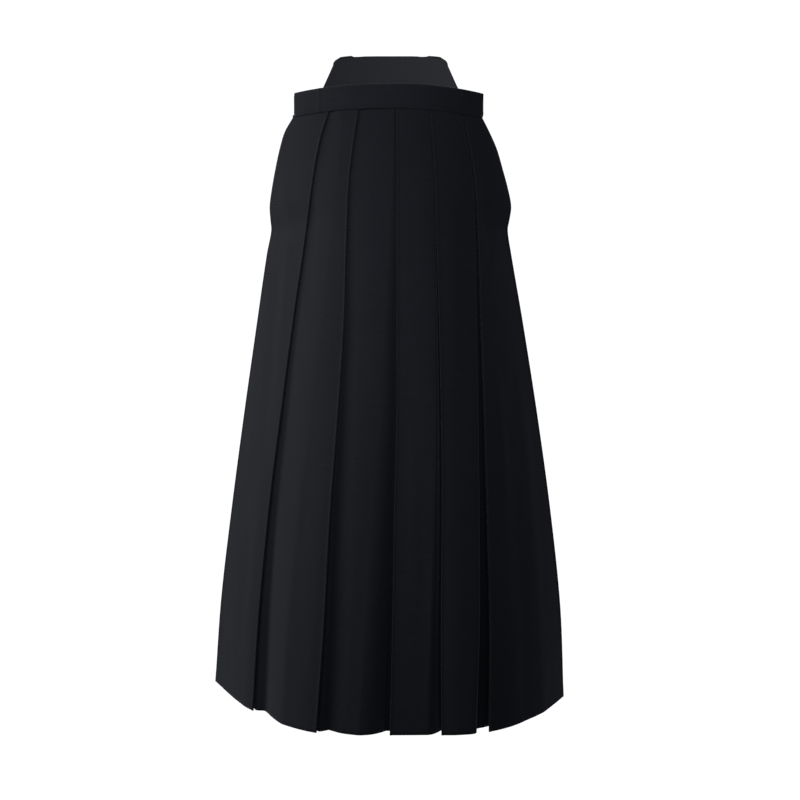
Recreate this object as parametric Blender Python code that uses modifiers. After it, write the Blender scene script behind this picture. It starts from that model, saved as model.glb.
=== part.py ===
"""Hakama trousers, filled out as if worn: pleated front and back, divided legs, waistbands, ties and a board.

Metres, +Z up. The wearer faces -Y, so the wearer's right is at -X. The origin is the middle of the waist, level with
the seam where the front band meets the cloth. A "drop" is a distance down from that seam, and a "depth" is a
distance from the garment's outline in towards the wearer.
"""

import math
from collections import namedtuple

import bmesh
import bpy

WALL = 0.0012  # one thickness of cloth
SEAM = 0.0003  # between two pieces at a seam
LAYER = 0.0018  # from one layer of a pressed fold to the next, middle to middle
FLANGE = 0.008  # seam allowance turned in at the centre seams
TURN_ENDS = 0.075  # the drop by which it has turned from flat to square
CENTRE_GAP = 0.00045  # between the two legs' walls at a centre seam
SIDE_LEAD = 0.003  # the last stretch of a panel before its side seam, which runs straight back
SLIT_STRAIGHTENS = 0.10  # the drop from which a slit's edge turns towards that

CLOTH_TOP = -0.004  # the drop of the panels' tops, which stand this far up inside the bands
CROTCH = 0.40
HEM = 0.8635
NOTCH = 0.165  # where a side slit ends and the side seam starts
LEVELS = (
    CLOTH_TOP, 0.0, 0.02, 0.045, 0.075, 0.105, 0.132, 0.15, NOTCH, 0.20,
    0.26, 0.33, CROTCH, 0.48, 0.57, 0.67, 0.77, HEM,
)  # fmt: skip

BAND_HEIGHT = 0.037
BAND_STAND_OFF = 0.0017  # from the cloth's outline out to the band's outer face, middle to middle
BAND_INSIDE = 0.0051  # from the cloth's outline in to the band's inner face
FRONT_BAND_ENDS = (-0.1412, 0.1375)
BACK_BAND_ENDS = (-0.108, 0.108)

TIE_THICKNESS = 0.0024
TIE_LOW, TIE_HIGH = 0.008, 0.036  # heights of a tie's edges above the band's lower seam
TIE_WIDTH = TIE_HIGH - TIE_LOW
BACK_TIE_FOLD = 0.110  # how far out each back tie folds and turns down
BACK_TIE_FOLD_GAP, BACK_TIE_STAND_OFF = 0.0038, 0.0026  # between its layers at the fold, and off the panel below
BACK_TIE_END = 0.67
KNOT_WIDTH, KNOT_THICKNESS = 0.036, 0.012
KNOT_BACK = 0.0879
KNOT_ROUND = 0.004
TAIL_DEPTH = 0.010
TAIL_LEVELS = (0.0, 0.02, 0.045, 0.075, 0.105)  # drops of the tails' rows, the last of them their ends
TAIL_INNER_EDGE, TAIL_WIDTH = 0.004, 0.014  # the tails are folded to half a tie's width

BOARD_THICKNESS = 0.005
BOARD_BOTTOM = 0.0375  # just clear of the back band's top
BOARD_TOP, BOARD_SHOULDER = 0.1250, 0.1185  # height at the middle, and where its rounded corners end
BOARD_HALF_BOTTOM, BOARD_HALF_TOP = 0.1215, 0.0905
BOARD_CORNER, BOARD_ROUND = 0.011, 0.0012  # radius of its top corners, and of its edges
BOARD_FOLLOWS = 0.108  # past this far from the middle it runs straight on
BOARD_DEPTH = 0.0018  # its middle below the back outline
BOARD_LEAN = 0.006  # how far its top leans in

# The outline of the front, a row a drop: half-widths to the side seams or slit edges, how far forward the middle
# stands, and how far back each side edge lies.
FrontRow = namedtuple("FrontRow", "drop right left front right_back left_back")
FRONT = (
    FrontRow(0.000, 0.1449, 0.1381, 0.095, -0.033, -0.033),
    FrontRow(0.020, 0.1573, 0.1487, 0.104, -0.029, -0.030),
    FrontRow(0.045, 0.1655, 0.1603, 0.113, -0.024, -0.026),
    FrontRow(0.075, 0.1726, 0.1696, 0.120, -0.019, -0.022),
    FrontRow(0.105, 0.1786, 0.1781, 0.128, -0.013, -0.018),
    FrontRow(0.130, 0.1821, 0.1830, 0.134, -0.008, -0.014),
    FrontRow(0.150, 0.1812, 0.1805, 0.138, -0.003, -0.012),
    FrontRow(0.165, 0.1802, 0.1779, 0.142, 0.000, -0.010),
    FrontRow(0.200, 0.1872, 0.1827, 0.149, 0.003, -0.012),
    FrontRow(0.310, 0.2043, 0.2009, 0.171, 0.013, -0.017),
    FrontRow(0.450, 0.2255, 0.2221, 0.196, 0.025, -0.023),
    FrontRow(0.590, 0.2453, 0.2404, 0.221, 0.037, -0.030),
    FrontRow(0.730, 0.2630, 0.2541, 0.246, 0.049, -0.037),
    FrontRow(HEM, 0.2739, 0.2583, 0.270, 0.061, -0.043),
)

# The back outline down to the notch, where it takes over the front's side edges.
BackRow = namedtuple("BackRow", "drop half back edge_back")
BACK = (
    BackRow(0.000, 0.110, 0.100, 0.078),
    BackRow(0.045, 0.131, 0.115, 0.062),
    BackRow(0.105, 0.158, 0.129, 0.036),
    BackRow(NOTCH, 0.179, 0.137, 0.004),
    BackRow(0.310, 0.200, 0.157, 0.000),
    BackRow(0.590, 0.240, 0.203, 0.000),
    BackRow(HEM, 0.265, 0.250, 0.000),
)

# Where each pressed front fold lies across the front, counted from the wearer's right.
FoldRow = namedtuple("FoldRow", "drop fold_1 fold_2 fold_3 fold_4 fold_5")
FOLDS = (
    FoldRow(0.000, -0.0892, -0.0450, 0.0100, 0.0596, 0.1083),
    FoldRow(0.045, -0.1020, -0.0508, 0.0106, 0.0625, 0.1163),
    FoldRow(0.105, -0.1125, -0.0575, 0.0112, 0.0662, 0.1250),
    FoldRow(0.200, -0.1245, -0.0608, 0.0110, 0.0675, 0.1287),
    FoldRow(0.310, -0.1400, -0.0630, 0.0110, 0.0700, 0.1306),
    FoldRow(0.450, -0.1575, -0.0710, 0.0106, 0.0722, 0.1334),
    FoldRow(0.590, -0.1745, -0.0805, 0.0072, 0.0719, 0.1354),
    FoldRow(0.730, -0.1870, -0.0870, 0.0050, 0.0700, 0.1365),
    FoldRow(HEM, -0.1938, -0.0960, 0.0020, 0.0700, 0.1340),
)

# How far each fold stands off the next panel at the hem, by its number.
OPEN_AT_HEM = {1: 0.014, 2: 0.021, 3: 0.023, 4: 0.024, 5: 0.023}
OPENING_STARTS, OPENING_GROWTH = 0.10, 1.4  # above this drop the pleats lie pressed, and the power of their opening
UNDER_TOP, UNDER_HEM = 0.022, 0.045  # how far a front pleat runs back under its panel
UNDER_CLEAR = 0.002  # a panel lies level from this far before the next fold's under layers
RISE_TOP, RISE_HEM = 1.2, 2.0  # the power by which a panel rises out of the fold before it
CENTRE_SWELL = 0.75  # the centre panel swells out again by this share of the open pleats beside it
LEG_SPLIT_AT_HEM = 0.010  # between the legs' front and back edges below the crotch
INNER_SWELL = 0.022  # how far each inner leg bows away from the other at the hem

BACK_FOLD_TOP, BACK_FOLD_HEM = 0.013, 0.036  # from the centre back to each folded edge
BACK_UNDER_TOP, BACK_UNDER_HEM = 0.040, 0.065
BACK_OPEN_AT_HEM = 0.020

# The share of each front half that lies level at the hem, and the powers by which front and back fall away sideways.
FLAT_RIGHT, FLAT_LEFT = 0.20, 0.30
FRONT_FULLNESS_TOP, FRONT_FULLNESS_HEM = 2.2, 1.95
BACK_FULLNESS_TOP, BACK_FULLNESS_HEM = 2.2, 2.0

# Into how many faces each stretch of cloth is divided across.
PANEL_STEPS, RISE_STEPS, UNDER_STEPS, CENTRE_UNDER_STEPS = 7, 4, 2, 3
BACK_PANEL_STEPS, INNER_STEPS, BAND_STEPS, BOARD_STEPS = 9, 12, 14, 14
BOARD_SIDE_STEPS, BOARD_CORNER_STEPS = 3, 3

RIGHT_SIDE, LEFT_SIDE = -1, 1
SIDE_NAMES = {RIGHT_SIDE: "right", LEFT_SIDE: "left"}

CLOTH_COLOUR, BAND_COLOUR = (0.016, 0.017, 0.022), (0.018, 0.019, 0.023)
TIE_COLOUR, BOARD_COLOUR = (0.017, 0.018, 0.022), (0.033, 0.035, 0.039)
CLOTH_ROUGHNESS, BOARD_ROUGHNESS = 0.85, 0.7

TIE_LEAD = 0.0022  # how far a tie runs straight on from the band's end
TIE_EASES_FROM = 0.75  # past this share of the route's width, the ties widen out to the band's own ends
# A tie from the end of the front band round to the centre back, for the left side.
FRONT_TIE_ROUTE = (
    (0.1398, -0.0215), (0.1402, 0.0000), (0.1376, 0.0300), (0.1255, 0.0570), (0.1040, 0.0725),
    (0.0720, 0.0822), (0.0400, 0.0876), (0.0183, 0.0893),
)  # fmt: skip


def between(table, drop, column):
    """A column of a table at a drop, on a smooth curve through its rows."""
    drops = [row.drop for row in table]
    values = [getattr(row, column) for row in table]
    if drop <= drops[0]:
        return values[0]
    if drop >= drops[-1]:
        return values[-1]
    i = max(k for k in range(len(drops) - 1) if drops[k] <= drop)

    def slope(k):
        low, high = max(k - 1, 0), min(k + 1, len(drops) - 1)
        return (values[high] - values[low]) / (drops[high] - drops[low])

    span = drops[i + 1] - drops[i]
    t = (drop - drops[i]) / span
    start = values[i] * (1 + 2 * t) * (1 - t) ** 2 + span * slope(i) * t * (1 - t) ** 2
    end = values[i + 1] * t * t * (3 - 2 * t) + span * slope(i + 1) * t * t * (t - 1)
    return start + end


def to_hem(drop, at_top, at_hem):
    """A size that grows evenly from the waist to the hem."""
    share = min(max(drop / HEM, 0.0), 1.0)
    return at_top + (at_hem - at_top) * share


def opening(drop, open_at_hem):
    """How far a folded edge stands off the next panel: pressed flat at the top, open at the hem."""
    share = max(drop - OPENING_STARTS, 0.0) / (HEM - OPENING_STARTS)
    return 2 * LAYER + (open_at_hem - 2 * LAYER) * share**OPENING_GROWTH


class Outline:
    """Half of the garment's outline at one drop, from its right side to its left, measured along its length."""

    SAMPLES = 240

    def __init__(self, right, left, middle, flat, fullness):
        """right and left are the side points, middle is the y of the centre. flat is the share of each half-width
        that stays level with the centre, and fullness the power by which the rest falls back, each (right, left)."""
        self.inward = 1.0 if middle < 0 else -1.0
        self.points = []
        for k in range(self.SAMPLES + 1):
            across = -math.cos(math.pi * k / self.SAMPLES)
            corner = right if across < 0 else left
            side = 0 if across < 0 else 1
            beyond = max(0.0, (abs(across) - flat[side]) / (1 - flat[side]))
            y = corner[1] + (middle - corner[1]) * (1 - beyond ** fullness[side])
            self.points.append((abs(across) * corner[0], y))
        self.along = [0.0]
        for a, b in zip(self.points, self.points[1:]):
            self.along.append(self.along[-1] + math.dist(a, b))
        self.length = self.along[-1]

    def at_x(self, x):
        """How far along the outline it crosses x."""
        for k in range(self.SAMPLES):
            x_0, x_1 = self.points[k][0], self.points[k + 1][0]
            if x_0 <= x <= x_1 and x_1 > x_0:
                t = (x - x_0) / (x_1 - x_0)
                return self.along[k] + t * (self.along[k + 1] - self.along[k])
        return 0.0 if x < self.points[0][0] else self.length

    def at(self, along, depth=0.0):
        """The point this far along, moved in by a depth, and the way in there. Past an end it runs straight on."""
        k = 0
        step = self.SAMPLES
        while step > 1:
            step = (step + 1) // 2
            if k + step < self.SAMPLES and self.along[k + step] <= along:
                k += step
        while k + 1 < self.SAMPLES and self.along[k + 1] <= along:
            k += 1
        span = self.along[k + 1] - self.along[k]
        t = (along - self.along[k]) / span
        x = self.points[k][0] + t * (self.points[k + 1][0] - self.points[k][0])
        y = self.points[k][1] + t * (self.points[k + 1][1] - self.points[k][1])
        low, high = max(k - 2, 0), min(k + 3, self.SAMPLES)
        run_x = self.points[high][0] - self.points[low][0]
        run_y = self.points[high][1] - self.points[low][1]
        size = math.hypot(run_x, run_y)
        inward = (-run_y / size * self.inward, run_x / size * self.inward)
        return (x + inward[0] * depth, y + inward[1] * depth), inward


def front_outline(drop):
    right = (-between(FRONT, drop, "right"), between(FRONT, drop, "right_back"))
    left = (between(FRONT, drop, "left"), between(FRONT, drop, "left_back"))
    flat = (to_hem(drop, 0.0, FLAT_RIGHT), to_hem(drop, 0.0, FLAT_LEFT))
    fullness = (to_hem(drop, FRONT_FULLNESS_TOP, FRONT_FULLNESS_HEM), FRONT_FULLNESS_TOP)
    return Outline(right, left, -between(FRONT, drop, "front"), flat, fullness)


def back_outline(drop):
    middle = between(BACK, drop, "back")
    notch = BACK[3]
    if drop < NOTCH:
        half, edge_back = between(BACK, drop, "half"), between(BACK, drop, "edge_back")
        at_notch = drop / NOTCH if drop > 0 else 0.0
        right_half = half + (between(FRONT, NOTCH, "right") - notch.half) * at_notch
        left_half = half + (between(FRONT, NOTCH, "left") - notch.half) * at_notch
        shift = (between(FRONT, NOTCH, "left_back") - notch.edge_back) * at_notch**4
        right = (-right_half, edge_back - notch.edge_back * at_notch**4)
        left = (left_half, edge_back + shift)
    else:
        right = (-between(FRONT, drop, "right"), between(FRONT, drop, "right_back"))
        left = (between(FRONT, drop, "left"), between(FRONT, drop, "left_back"))
    fullness = to_hem(drop, BACK_FULLNESS_TOP, BACK_FULLNESS_HEM)
    return Outline(right, left, middle, (0.0, 0.0), (fullness, fullness))


def lay(outline, start, end, depth_start, depth_end, steps, fall=1.0, swell=0.0):
    """Points of a layer of cloth between two places along the outline, its depth going from one to the other. fall is
    the power by which it does, and swell how far the middle stands out."""
    points = []
    for k in range(steps + 1):
        t = k / steps
        depth = depth_end + (depth_start - depth_end) * (1 - t) ** fall
        depth -= swell * math.sin(math.pi * t)
        points.append(outline.at(start + (end - start) * t, depth)[0])
    return points


def side_lead(outline, drop, side):
    """The two points at a side edge. Down the seam they run straight back, so that both panels meet end to end, and
    along the slit they follow the outline."""
    way = -outline.inward
    ends = (0.0, SIDE_LEAD) if side == RIGHT_SIDE else (outline.length, outline.length - SIDE_LEAD)
    corner, inner = (outline.at(end)[0] for end in ends)
    straight = min(max((drop - SLIT_STRAIGHTENS) / (NOTCH - SLIT_STRAIGHTENS), 0.0), 1.0)
    lead = tuple(
        along + (back - along) * straight for along, back in zip(inner, (corner[0], corner[1] + way * SIDE_LEAD))
    )
    return [(corner[0], corner[1] + way * SEAM / 2), lead]


def centre_seam(outline, drop, side):
    """Where the front's centre seam lies for one leg, under the centre fold."""
    under = to_hem(drop, UNDER_TOP, UNDER_HEM)
    split = LEG_SPLIT_AT_HEM * max(drop - CROTCH, 0.0) / (HEM - CROTCH)
    seam = outline.at_x(between(FOLDS, drop, "fold_3")) + under
    return seam + split / 2 if side == LEFT_SIDE else seam - split / 2 - WALL - CENTRE_GAP


def turned_in(drop):
    """The angle by which a centre seam's allowance has turned in: flat inside the band, square to the cloth below."""
    return math.pi / 2 * min(max(drop / TURN_ENDS, 0.0), 1.0)


def front_flange(outline, drop, side, length):
    """The far edge of a front leg's seam allowance at the centre seam, this far in from the deeper leg's cloth."""
    seam = centre_seam(outline, drop, side)
    depth = opening(drop, OPEN_AT_HEM[3])
    if side == LEFT_SIDE:
        depth -= LAYER
        length += LAYER
    corner = outline.at(seam, depth)[0]
    way_in = outline.at(centre_seam(outline, drop, LEFT_SIDE))[1]
    inward, onward = length * math.sin(turned_in(drop)), length * math.cos(turned_in(drop))
    x = corner[0] + way_in[0] * inward + way_in[1] * onward
    y = corner[1] + way_in[1] * inward - way_in[0] * onward
    return (x, y), way_in


def front_leg_path(drop, side):
    """One front leg's cloth at a drop, from its side seam through its pleats to the centre seam."""
    outline = front_outline(drop)
    towards_centre = -side
    under = to_hem(drop, UNDER_TOP, UNDER_HEM)
    rise = to_hem(drop, RISE_TOP, RISE_HEM)
    path = side_lead(outline, drop, side)
    start = outline.along[0] if side == RIGHT_SIDE else outline.length
    start += towards_centre * 2 * SIDE_LEAD
    folds = (1, 2) if side == RIGHT_SIDE else (5, 4, 3)
    depth = 0.0
    for order, fold in enumerate(folds):
        edge = outline.at_x(between(FOLDS, drop, f"fold_{fold}"))
        if order == 0:
            path += lay(outline, start, edge, 0.0, 0.0, PANEL_STEPS)
        else:
            hidden = under + FLANGE + LAYER if fold == 3 else under
            level_from = edge - towards_centre * (hidden + UNDER_CLEAR)
            path += lay(outline, start, mouth, depth, depth, UNDER_STEPS)[:-1]
            path += lay(outline, mouth, level_from, depth, 0.0, RISE_STEPS, rise)[:-1]
            path += lay(outline, level_from, edge, 0.0, 0.0, UNDER_STEPS)
        if fold == 3:
            break
        depth = opening(drop, OPEN_AT_HEM[fold])
        mouth = edge
        start = edge - towards_centre * under
        path += lay(outline, edge, start, LAYER, depth - LAYER, UNDER_STEPS)
    seam = centre_seam(outline, drop, side)
    seam_depth = opening(drop, OPEN_AT_HEM[3])
    if side == RIGHT_SIDE:
        centre_fold = outline.at_x(between(FOLDS, drop, "fold_3"))
        swell = CENTRE_SWELL * (depth + seam_depth) / 2 * min(1.0, max(drop, 0.0) / CROTCH)
        path += lay(outline, start, mouth, depth, depth, UNDER_STEPS)[:-1]
        path += lay(outline, mouth, centre_fold, depth, seam_depth, PANEL_STEPS, swell=swell)[:-1]
        path += lay(outline, centre_fold, seam, seam_depth, seam_depth, UNDER_STEPS)
    else:
        path += lay(outline, edge, seam, LAYER, seam_depth - LAYER, CENTRE_UNDER_STEPS)
    path.append(front_flange(outline, drop, side, FLANGE)[0])
    return path


def back_flange(outline, drop, side, length):
    """The corner of a back leg at the centre seam, and the far edge of its seam allowance, this long."""
    turn = turned_in(drop)
    split = LEG_SPLIT_AT_HEM * max(drop - CROTCH, 0.0) / (HEM - CROTCH) / 2
    edge = split + CENTRE_GAP / 2 + WALL / 2 * math.sin(turn)
    depth = opening(drop, BACK_OPEN_AT_HEM)
    corner = outline.at(outline.at_x(side * (edge + FLANGE * math.cos(turn))), depth)[0]
    middle = outline.at(outline.at_x(side * edge), depth)[0]
    return corner, (middle[0], middle[1] - length * math.sin(turn))


def back_leg_path(drop, side):
    """One back leg's cloth at a drop, from its side seam to its fold, back under it and in to the centre seam."""
    outline = back_outline(drop)
    towards_centre = -side
    path = side_lead(outline, drop, side)
    start = outline.along[0] if side == RIGHT_SIDE else outline.length
    start += towards_centre * 2 * SIDE_LEAD
    edge = outline.at_x(side * to_hem(drop, BACK_FOLD_TOP, BACK_FOLD_HEM))
    under = edge - towards_centre * to_hem(drop, BACK_UNDER_TOP, BACK_UNDER_HEM)
    depth = opening(drop, BACK_OPEN_AT_HEM)
    path += lay(outline, start, edge, 0.0, 0.0, BACK_PANEL_STEPS)
    path += lay(outline, edge, under, LAYER, depth - LAYER, UNDER_STEPS)
    path += lay(outline, under, edge, depth, depth, UNDER_STEPS)
    path += back_flange(outline, drop, side, FLANGE)
    return path


def inner_leg_path(drop, side):
    """One inner leg at a drop, from the front centre seam back to the centre back, bowed away from the other leg."""
    front, way_in = front_flange(front_outline(drop), drop, side, FLANGE + SEAM)
    back = back_flange(back_outline(drop), drop, side, FLANGE + SEAM)[1]
    reach = math.dist(front, back)
    swell = side * INNER_SWELL * max(drop - CROTCH, 0.0) / (HEM - CROTCH)
    path = []
    for k in range(INNER_STEPS + 1):
        t = k / INNER_STEPS
        ease_front, ease_back = t * (1 - t) ** 2 * reach, t * t * (t - 1) * reach
        share = t * t * (3 - 2 * t)
        bow = swell * math.sin(math.pi * t) ** 2
        x = front[0] + (back[0] - front[0]) * share + way_in[0] * ease_front + bow
        y = front[1] + (back[1] - front[1]) * share + way_in[1] * ease_front + ease_back
        path.append((x, y))
    return path


def material(name, colour, roughness):
    made = bpy.data.materials.new(name)
    made.use_nodes = True
    shader = made.node_tree.nodes["Principled BSDF"]
    shader.inputs["Base Color"].default_value = (*colour, 1.0)
    shader.inputs["Roughness"].default_value = roughness
    shader.inputs["Metallic"].default_value = 0.0
    return made


def sheet(name, rows, thickness, looks):
    """A wall of cloth through rows of points, all rows with the same number."""
    form = bmesh.new()
    grid = [[form.verts.new(point) for point in row] for row in rows]
    for upper, lower in zip(grid, grid[1:]):
        for k in range(len(upper) - 1):
            form.faces.new((upper[k], lower[k], lower[k + 1], upper[k + 1]))
    mesh = bpy.data.meshes.new(name)
    form.to_mesh(mesh)
    form.free()
    made = bpy.data.objects.new(name, mesh)
    made.data.materials.append(looks)
    parts.objects.link(made)
    wall = made.modifiers.new("cloth thickness", "SOLIDIFY")
    wall.thickness = thickness
    wall.offset = 0.0
    wall.use_even_offset = True
    return made


def hung(path_at, levels):
    """Rows of a hanging piece: its path at each drop, at that height."""
    return [[(x, y, -drop) for x, y in path_at(drop)] for drop in levels]


def legs():
    crotch_down = [drop for drop in LEVELS if drop >= CROTCH]
    for side, name in SIDE_NAMES.items():
        cloth = material(f"cloth_{name}", CLOTH_COLOUR, CLOTH_ROUGHNESS)
        sheet(f"front_{name}_leg", hung(lambda drop: front_leg_path(drop, side), LEVELS), WALL, cloth)
        sheet(f"back_{name}_leg", hung(lambda drop: back_leg_path(drop, side), LEVELS), WALL, cloth)
        sheet(f"inner_{name}_leg", hung(lambda drop: inner_leg_path(drop, side), crotch_down), WALL, cloth)


def band(name, outline, ends):
    """A waistband folded over the tops of the panels: an outer face, the fold on top and an inner face."""
    top = BAND_HEIGHT - WALL / 2
    profile = ((-BAND_STAND_OFF, 0.0), (-BAND_STAND_OFF, top), (BAND_INSIDE, top), (BAND_INSIDE, 0.0))
    start, end = outline.at_x(ends[0]), outline.at_x(ends[1])
    rows = []
    for depth, height in profile:
        row = lay(outline, start, end, depth, depth, BAND_STEPS)
        rows.append([(x, y, height) for x, y in row])
    sheet(name, rows, WALL, material(name + "_cloth", BAND_COLOUR, CLOTH_ROUGHNESS))


def board():
    """The stiff board at the back of the waist, curved with the back and rounded at its top corners."""
    outline = back_outline(0.0)
    levels = []
    side_top = BOARD_SHOULDER - BOARD_CORNER
    for k in range(BOARD_SIDE_STEPS + 1):
        share = k / BOARD_SIDE_STEPS
        height = BOARD_BOTTOM + (side_top - BOARD_BOTTOM) * share
        levels.append((height, BOARD_HALF_BOTTOM + (BOARD_HALF_TOP - BOARD_HALF_BOTTOM) * share))
    for k in range(1, BOARD_CORNER_STEPS + 1):
        turn = math.pi / 2 * k / BOARD_CORNER_STEPS
        height = side_top + BOARD_CORNER * math.sin(turn)
        levels.append((height, BOARD_HALF_TOP - BOARD_CORNER * (1 - math.cos(turn))))
    middle = outline.at_x(0.0)
    rows = []
    for height, half in levels:
        share = (height - BOARD_BOTTOM) / (BOARD_SHOULDER - BOARD_BOTTOM)
        row = []
        for k in range(BOARD_STEPS + 1):
            across = -1 + 2 * k / BOARD_STEPS
            depth = BOARD_DEPTH + BOARD_LEAN * share**2
            (x, y), _ = outline.at(middle + across * min(half, BOARD_FOLLOWS), depth)
            spare = max(0.0, abs(across) * half - abs(x)) * (1 if across > 0 else -1)
            crown = (BOARD_TOP - BOARD_SHOULDER) * (1 - abs(across) ** 3) * share
            row.append((x + spare, y, height + crown))
        rows.append(row)
    made = sheet("back_board", rows, BOARD_THICKNESS, material("board_cover", BOARD_COLOUR, BOARD_ROUGHNESS))
    rounded = made.modifiers.new("rounded edges", "BEVEL")
    rounded.width = BOARD_ROUND
    rounded.segments = 1
    rounded.limit_method = "ANGLE"
    rounded.angle_limit = math.radians(50)


def strip_rows(path, heights):
    """Rows for an upright strip that follows a path, one row a height."""
    return [[(x, y, height) for x, y in path] for height in heights]


def smooth_route(points, steps):
    """A smooth curve through a few points of a route."""
    padded = [points[0], *points, points[-1]]
    route = []
    for a, b, c, d in zip(padded, padded[1:], padded[2:], padded[3:]):
        for k in range(steps):
            t = k / steps
            route.append(tuple(
                0.5 * (2 * q + (r - p) * t + (2 * p - 5 * q + 4 * r - s) * t * t + (3 * q - p - 3 * r + s) * t**3)
                for p, q, r, s in zip(a, b, c, d)
            ))  # fmt: skip
    route.append(points[-1])
    return route


def front_ties(looks):
    """The front ties run back from the band's ends, round inside the board, and meet in a flat knot."""
    outline = front_outline(0.0)
    middle_depth = (BAND_INSIDE - BAND_STAND_OFF) / 2
    for side, name in SIDE_NAMES.items():
        band_end = FRONT_BAND_ENDS[0 if side == RIGHT_SIDE else 1]
        along = outline.at_x(band_end)
        start = outline.at(along + side * SEAM, middle_depth)[0]
        lead = outline.at(along + side * TIE_LEAD, middle_depth)[0]
        wider = abs(band_end) - FRONT_BAND_ENDS[1]
        route = smooth_route(FRONT_TIE_ROUTE, 2)
        shares = [(x / FRONT_TIE_ROUTE[0][0] - TIE_EASES_FROM) / (1 - TIE_EASES_FROM) for x, _ in route]
        widening = [wider * min(1.0, max(0.0, share)) for share in shares]
        path = [start, lead] + [(side * (x + more), y) for (x, y), more in zip(route, widening)]
        sheet(f"front_tie_{name}", strip_rows(path, (TIE_LOW, TIE_HIGH)), TIE_THICKNESS, looks)


def knot(looks):
    """The flat knot at the centre back, inside the board, and the two short ends below it."""
    bpy.ops.mesh.primitive_cube_add(size=1.0, location=(0.0, KNOT_BACK, (TIE_LOW + TIE_HIGH) / 2))
    made = bpy.context.object
    made.name = "front_tie_knot"
    made.data.name = made.name
    made.scale = (KNOT_WIDTH, KNOT_THICKNESS, TIE_WIDTH)
    bpy.ops.object.transform_apply(location=False, rotation=False, scale=True)
    rounded = made.modifiers.new("rounded", "BEVEL")
    rounded.width = KNOT_ROUND
    rounded.segments = 3
    made.data.materials.append(looks)
    for collection in made.users_collection:
        collection.objects.unlink(made)
    parts.objects.link(made)
    levels = [TIE_LOW - SEAM] + [-drop for drop in TAIL_LEVELS]
    for side, name in SIDE_NAMES.items():
        rows = []
        for height in levels:
            outline = back_outline(-height)
            row = []
            for share in (0.0, 0.5, 1.0):
                along = outline.at_x(side * (TAIL_INNER_EDGE + TAIL_WIDTH * share))
                x, y = outline.at(along, TAIL_DEPTH)[0]
                row.append((x, y, height))
            rows.append(row)
        sheet(f"front_tie_tail_{name}", rows, TIE_THICKNESS, looks)


def back_ties(looks):
    """The back ties leave the ends of the back band, fold over on the slant and hang down over the back panels."""
    outline = back_outline(0.0)
    shares = (0.0, 0.5, 1.0)
    for side, name in SIDE_NAMES.items():
        rows = []
        x, y = outline.at(outline.at_x(side * BACK_BAND_ENDS[1]) + side * SEAM)[0]
        rows.append([(x, y, TIE_HIGH - TIE_WIDTH * share) for share in shares])
        (fold_x, fold_y), way_in = outline.at(outline.length if side == LEFT_SIDE else 0.0)
        across = (side * abs(way_in[1]), -abs(way_in[0]))
        for stand_off in (0.0, BACK_TIE_FOLD_GAP):
            rows.append([
                (
                    fold_x + across[0] * TIE_WIDTH * share - way_in[0] * stand_off,
                    fold_y + across[1] * TIE_WIDTH * share - way_in[1] * stand_off,
                    TIE_HIGH - TIE_WIDTH * share,
                )
                for share in shares
            ])  # fmt: skip
        for drop in [level for level in LEVELS if 0 < level <= BACK_TIE_END]:
            hanging = back_outline(drop)
            row = []
            for share in shares:
                x = side * (BACK_TIE_FOLD + across[0] * side * TIE_WIDTH * share)
                if abs(x) < abs(hanging.points[0 if side == RIGHT_SIDE else -1][0]):
                    point, _ = hanging.at(hanging.at_x(x), -BACK_TIE_STAND_OFF)
                else:
                    point = (x, rows[-1][len(row)][1])
                row.append((*point, -drop))
            rows.append(row)
        sheet(f"back_tie_{name}", rows, TIE_THICKNESS, looks)


for leftover in list(bpy.data.objects):
    bpy.data.objects.remove(leftover, do_unlink=True)
parts = bpy.data.collections.new("hakama_trousers")
bpy.context.scene.collection.children.link(parts)

tie_cloth = material("tie_cloth", TIE_COLOUR, CLOTH_ROUGHNESS)
legs()
band("front_band", front_outline(0.0), FRONT_BAND_ENDS)
band("back_band", back_outline(0.0), BACK_BAND_ENDS)
board()
front_ties(tie_cloth)
knot(tie_cloth)
back_ties(tie_cloth)
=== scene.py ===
"""The looks of the hakama trousers: pressed pleats and their creases, waistbands, a covered back board, ties,
stitching, a plain studio and the camera.

Metres, +Z up, the wearer facing -Y with the right side at -X. A "drop" is a distance down from the front
band's lower seam, a "depth" a distance in from the garment's outline, and a place "round" the garment is a
distance along that outline from the centre front or centre back towards the wearer's left.
"""

import math
from bisect import bisect_right
from collections import namedtuple

import bpy
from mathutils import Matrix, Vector, noise


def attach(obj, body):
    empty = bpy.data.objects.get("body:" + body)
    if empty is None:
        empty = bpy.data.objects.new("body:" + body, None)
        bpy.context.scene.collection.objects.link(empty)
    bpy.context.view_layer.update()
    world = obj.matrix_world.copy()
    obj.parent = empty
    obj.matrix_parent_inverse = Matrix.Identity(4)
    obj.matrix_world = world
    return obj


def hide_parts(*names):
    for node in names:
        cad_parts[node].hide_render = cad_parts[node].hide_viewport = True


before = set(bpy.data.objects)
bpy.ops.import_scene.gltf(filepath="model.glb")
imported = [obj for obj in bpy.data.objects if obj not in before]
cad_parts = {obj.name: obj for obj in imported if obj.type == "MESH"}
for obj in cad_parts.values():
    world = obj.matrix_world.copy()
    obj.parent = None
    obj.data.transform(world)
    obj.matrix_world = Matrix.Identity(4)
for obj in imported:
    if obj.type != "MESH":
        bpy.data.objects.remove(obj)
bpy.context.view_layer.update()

# The cut and hang of the cloth, nearly as in the solids. Its layers lie closer.
SEAM, WALL = 0.0003, 0.0012  # between two pieces at a seam, and the thickness of a solid's cloth
LAYER = 0.0011  # from one layer of a pressed fold to the next
FLANGE = 0.008  # seam allowance turned in at the centre seams
TURN_ENDS = 0.075  # the drop by which it has turned from flat to square
CENTRE_GAP, CENTRE_BACK_GAP = 0.00045, 0.0001  # between the two legs' cloth at the centre seams
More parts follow.
